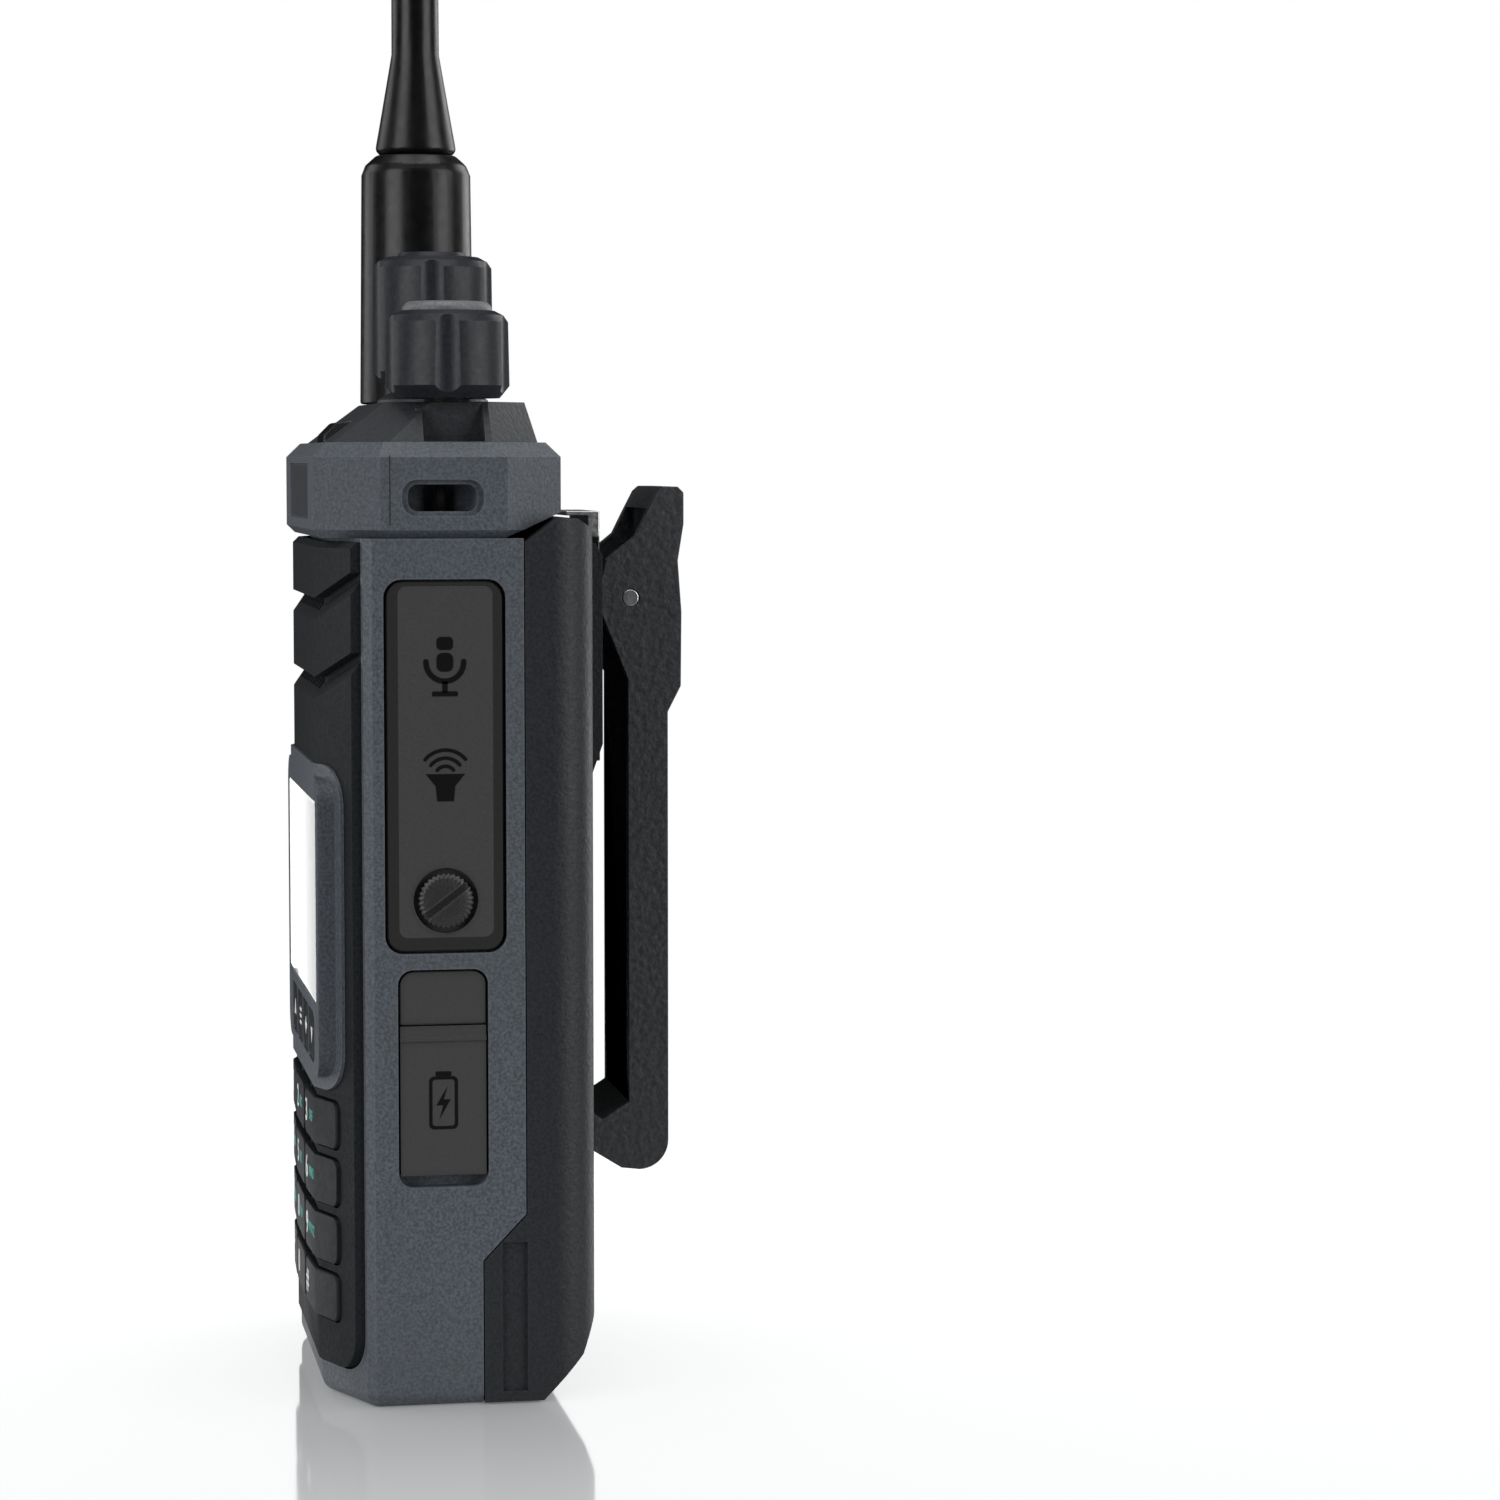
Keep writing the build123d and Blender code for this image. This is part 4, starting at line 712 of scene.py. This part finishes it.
lo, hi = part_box("clip_spring")
axis_y, axis_z = (lo.y + hi.y) / 2, (lo.z + hi.z) / 2
WIRE = 0.42
coil_radius = (hi.z - lo.z) / 2 - WIRE * MM
turns_per_side, gap = 5, 1.2 * MM
STEPS_PER_TURN = 24
steps = turns_per_side * STEPS_PER_TURN
for side in (-1, 1):
    inner, outer = side * gap, side * (hi.x - WIRE * MM)
    points = []
    for k in range(steps + 1):
        angle = math.radians(90 + 15 * k * side)
        points.append((inner + (outer - inner) * k / steps,
                       axis_y + coil_radius * math.cos(angle), axis_z + coil_radius * math.sin(angle)))
    leg = [(inner, axis_y - 1.2 * MM, axis_z + coil_radius)]
    piece = keep(tube("coil", leg + points, WIRE), "spring_coil_" + ("left" if side < 0 else "right"),
                 MATERIALS["spring_steel"], BODY_OF["clip_spring"],
                 ["clip_spring"] if side > 0 else ())
    smooth(piece, 60)

lo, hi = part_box("clip_screws")
SCREW_HEAD = 2.6
for number, z in enumerate((lo.z + SCREW_HEAD * MM, hi.z - SCREW_HEAD * MM)):
    depth = (hi.y - lo.y) / MM
    head = [(1.5, 0, False), (1.5, depth - 1.1, False), (SCREW_HEAD, depth - 1.1, False),
            (SCREW_HEAD, depth - 0.75, False), (SCREW_HEAD - 0.35, depth - 0.35, False),
            (SCREW_HEAD - 1.0, depth - 0.08, False), (SCREW_HEAD - 1.8, depth, False)]
    mesh = disc_stack(head, segments=64)
    for turn in (0, 90):
        spin = Matrix.Rotation(math.radians(turn + 20 + 35 * number), 4, "Z")
        place = Matrix.Translation((0, 0, depth * MM)) @ spin
        mesh = less(mesh, block(2.6, 0.55, 1.3, place))
    mesh.transform(frame_at(Vector((0, lo.y, z)), -X, Z))
    smooth(keep(mesh, "clip_screw_%d" % number, MATERIALS["bare_steel"], BODY_OF["clip_screws"],
                ["clip_screws"] if number == 0 else ()), 28)

NODES["clip_base"].data.materials[0] = PAINTS["plated_steel"]

# ---- Dark line in the seam between the body and the battery: painted shade -----------------------

shell_lo, shell_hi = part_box("main_shell")
SEAM_SHADE_RADIUS = 0.35
seam_shade_x = shell_hi.x - 3.0 * MM
seam_y = shell_hi.y - 0.15 * MM
for side in (-1, 1):
    path = [(side * seam_shade_x, seam_y, shell_hi.z - 2 * MM), (side * seam_shade_x, seam_y, shell_lo.z + 26 * MM)]
    keep(tube("seal", path, SEAM_SHADE_RADIUS), "seam_shade_" + ("left" if side < 0 else "right"), PAINTS["painted_shade_black"],
         "housing")

# ---- Camera, floor and light ---------------------------------------------------------------------

camera = bpy.data.objects.new("camera", bpy.data.cameras.new("camera"))
bpy.context.scene.collection.objects.link(camera)
bpy.context.scene.camera = camera
camera.data.sensor_width = 36
camera.data.lens = 98.55
camera.location = (0.560, -0.0612, 0.1238)
yaw, pitch = math.radians(10.67), math.radians(4.03)
aim = Vector((-math.cos(yaw) * math.cos(pitch), math.sin(yaw) * math.cos(pitch), -math.sin(pitch)))
camera.rotation_mode = "QUATERNION"
camera.rotation_quaternion = aim.to_track_quat("-Z", "Y")

SURROUND = 0.06                     # strength of the dim surround that lights the radio
HORIZON = 1.8                       # strength of the white screen
FADE_START, FADE_END = 0.05, 0.32   # where the floor starts to fade and where it is gone, in metres


def studio_floor():
    """A pale floor that fades into the white surround away from the radio."""
    mesh = bpy.data.meshes.new("floor")
    rings, spokes = [0.0, 0.15, 0.4, 0.9, 2.0], 64
    verts = [(0, 0, 0)]
    faces = []
    for ring in rings[1:]:
        verts += [(ring * math.cos(2 * math.pi * k / spokes), ring * math.sin(2 * math.pi * k / spokes), 0)
                  for k in range(spokes)]
    faces += [(0, 1 + k, 1 + (k + 1) % spokes) for k in range(spokes)]
    for ring in range(len(rings) - 2):
        first = 1 + ring * spokes
        for k in range(spokes):
            after = (k + 1) % spokes
            faces.append((first + k, first + spokes + k, first + spokes + after, first + after))
    mesh.from_pydata(verts, [], faces)
    floor = bpy.data.objects.new("floor", mesh)
    bpy.context.scene.collection.objects.link(floor)
    floor.location.z = cad_box[0][2]
    n = Nodes("studio_floor")
    shader = n.add("ShaderNodeBsdfPrincipled")
    shader.inputs["Base Color"].default_value = (0.55, 0.56, 0.57, 1)
    shader.inputs["Roughness"].default_value = 0.07
    shader.inputs["Specular IOR Level"].default_value = 0.8
    shader.inputs["Emission Color"].default_value = (1, 1, 1, 1)
    shader.inputs["Emission Strength"].default_value = 0.1
    fade = n.add("ShaderNodeMixShader")
    length = n.add("ShaderNodeVectorMath", operation="LENGTH")
    n.link(n.place, length.inputs[0])
    n.link(n.span(length.outputs["Value"], FADE_START, FADE_END, 0.0, 1.0), fade.inputs["Fac"])
    n.link(shader.outputs[0], fade.inputs[1])
    n.link(n.add("ShaderNodeBsdfTransparent").outputs[0], fade.inputs[2])
    n.link(fade.outputs[0], n.out.inputs["Surface"])
    mesh.materials.append(n.material)
    return floor


def studio_horizon(seen_by):
    """A white screen all round that lights only the floor and the display glass."""
    radius, bottom, top, steps = 1.5, -0.3, 1.5, 64
    verts = [(radius * math.cos(2 * math.pi * k / steps), radius * math.sin(2 * math.pi * k / steps), z)
             for z in (bottom, top) for k in range(steps)]
    faces = [(k, (k + 1) % steps, steps + (k + 1) % steps, steps + k) for k in range(steps)]
    mesh = bpy.data.meshes.new("horizon")
    mesh.from_pydata(verts, [], faces)
    screen = bpy.data.objects.new("horizon", mesh)
    bpy.context.scene.collection.objects.link(screen)
    n = Nodes("horizon_white")
    glow = n.add("ShaderNodeEmission")
    glow.inputs["Strength"].default_value = HORIZON
    n.link(glow.outputs[0], n.out.inputs["Surface"])
    mesh.materials.append(n.material)
    screen.visible_camera = False
    receivers = bpy.data.collections.new("horizon_receivers")
    for piece in seen_by:
        receivers.objects.link(piece)
    screen.light_linking.receiver_collection = receivers


def studio_world():
    """White surround behind the radio, and a dim soft surround for its light."""
    world = bpy.data.worlds.new("studio")
    bpy.context.scene.world = world
    world.use_nodes = True
    tree = world.node_tree
    tree.nodes.clear()
    seen = tree.nodes.new("ShaderNodeBackground")
    seen.inputs["Color"].default_value = (1, 1, 1, 1)
    seen.inputs["Strength"].default_value = 1.0
    soft = tree.nodes.new("ShaderNodeBackground")
    soft.inputs["Color"].default_value = (0.95, 0.97, 1, 1)
    soft.inputs["Strength"].default_value = SURROUND
    path = tree.nodes.new("ShaderNodeLightPath")
    mix = tree.nodes.new("ShaderNodeMixShader")
    out = tree.nodes.new("ShaderNodeOutputWorld")
    tree.links.new(path.outputs["Is Camera Ray"], mix.inputs["Fac"])
    tree.links.new(soft.outputs[0], mix.inputs[1])
    tree.links.new(seen.outputs[0], mix.inputs[2])
    tree.links.new(mix.outputs[0], out.inputs["Surface"])


AIM_AT = Vector((0, 0, 0.11))


def softbox(name, place, size, power, receivers):
    """An area light aimed at the radio that lights only its receivers."""
    data = bpy.data.lights.new(name, "AREA")
    data.shape = "RECTANGLE"
    data.size, data.size_y = size
    data.energy = power
    light = bpy.data.objects.new(name, data)
    bpy.context.scene.collection.objects.link(light)
    light.location = place
    direction = AIM_AT - Vector(place)
    light.rotation_mode = "QUATERNION"
    light.rotation_quaternion = direction.to_track_quat("-Z", "Y")
    light.visible_camera = False
    light.light_linking.receiver_collection = receivers


floor = studio_floor()
studio_world()
spared = bpy.data.collections.new("not_on_the_floor")
spared.objects.link(floor)
spared.collection_objects[0].light_linking.link_state = "EXCLUDE"
SIDE_X, SIDE_Y, SIDE_Z, SIDE_SIZE = 0.6, 0.84, 0.32, (0.62, 0.95)
softbox("right_front", (SIDE_X, -SIDE_Y, SIDE_Z), SIDE_SIZE, 8.2, spared)
softbox("right_rear", (SIDE_X, SIDE_Y, SIDE_Z), SIDE_SIZE, 8.2, spared)
softbox("left_front", (-SIDE_X, -SIDE_Y, SIDE_Z), SIDE_SIZE, 3.2, spared)
softbox("left_rear", (-SIDE_X, SIDE_Y, SIDE_Z), SIDE_SIZE, 5.5, spared)
softbox("above", (0.1, 0.0, 1.1), (1.0, 1.0), 8, spared)
studio_horizon([floor, bpy.data.objects["display_glass"]])
bpy.context.scene.view_settings.view_transform = "Standard"
bpy.context.view_layer.update()
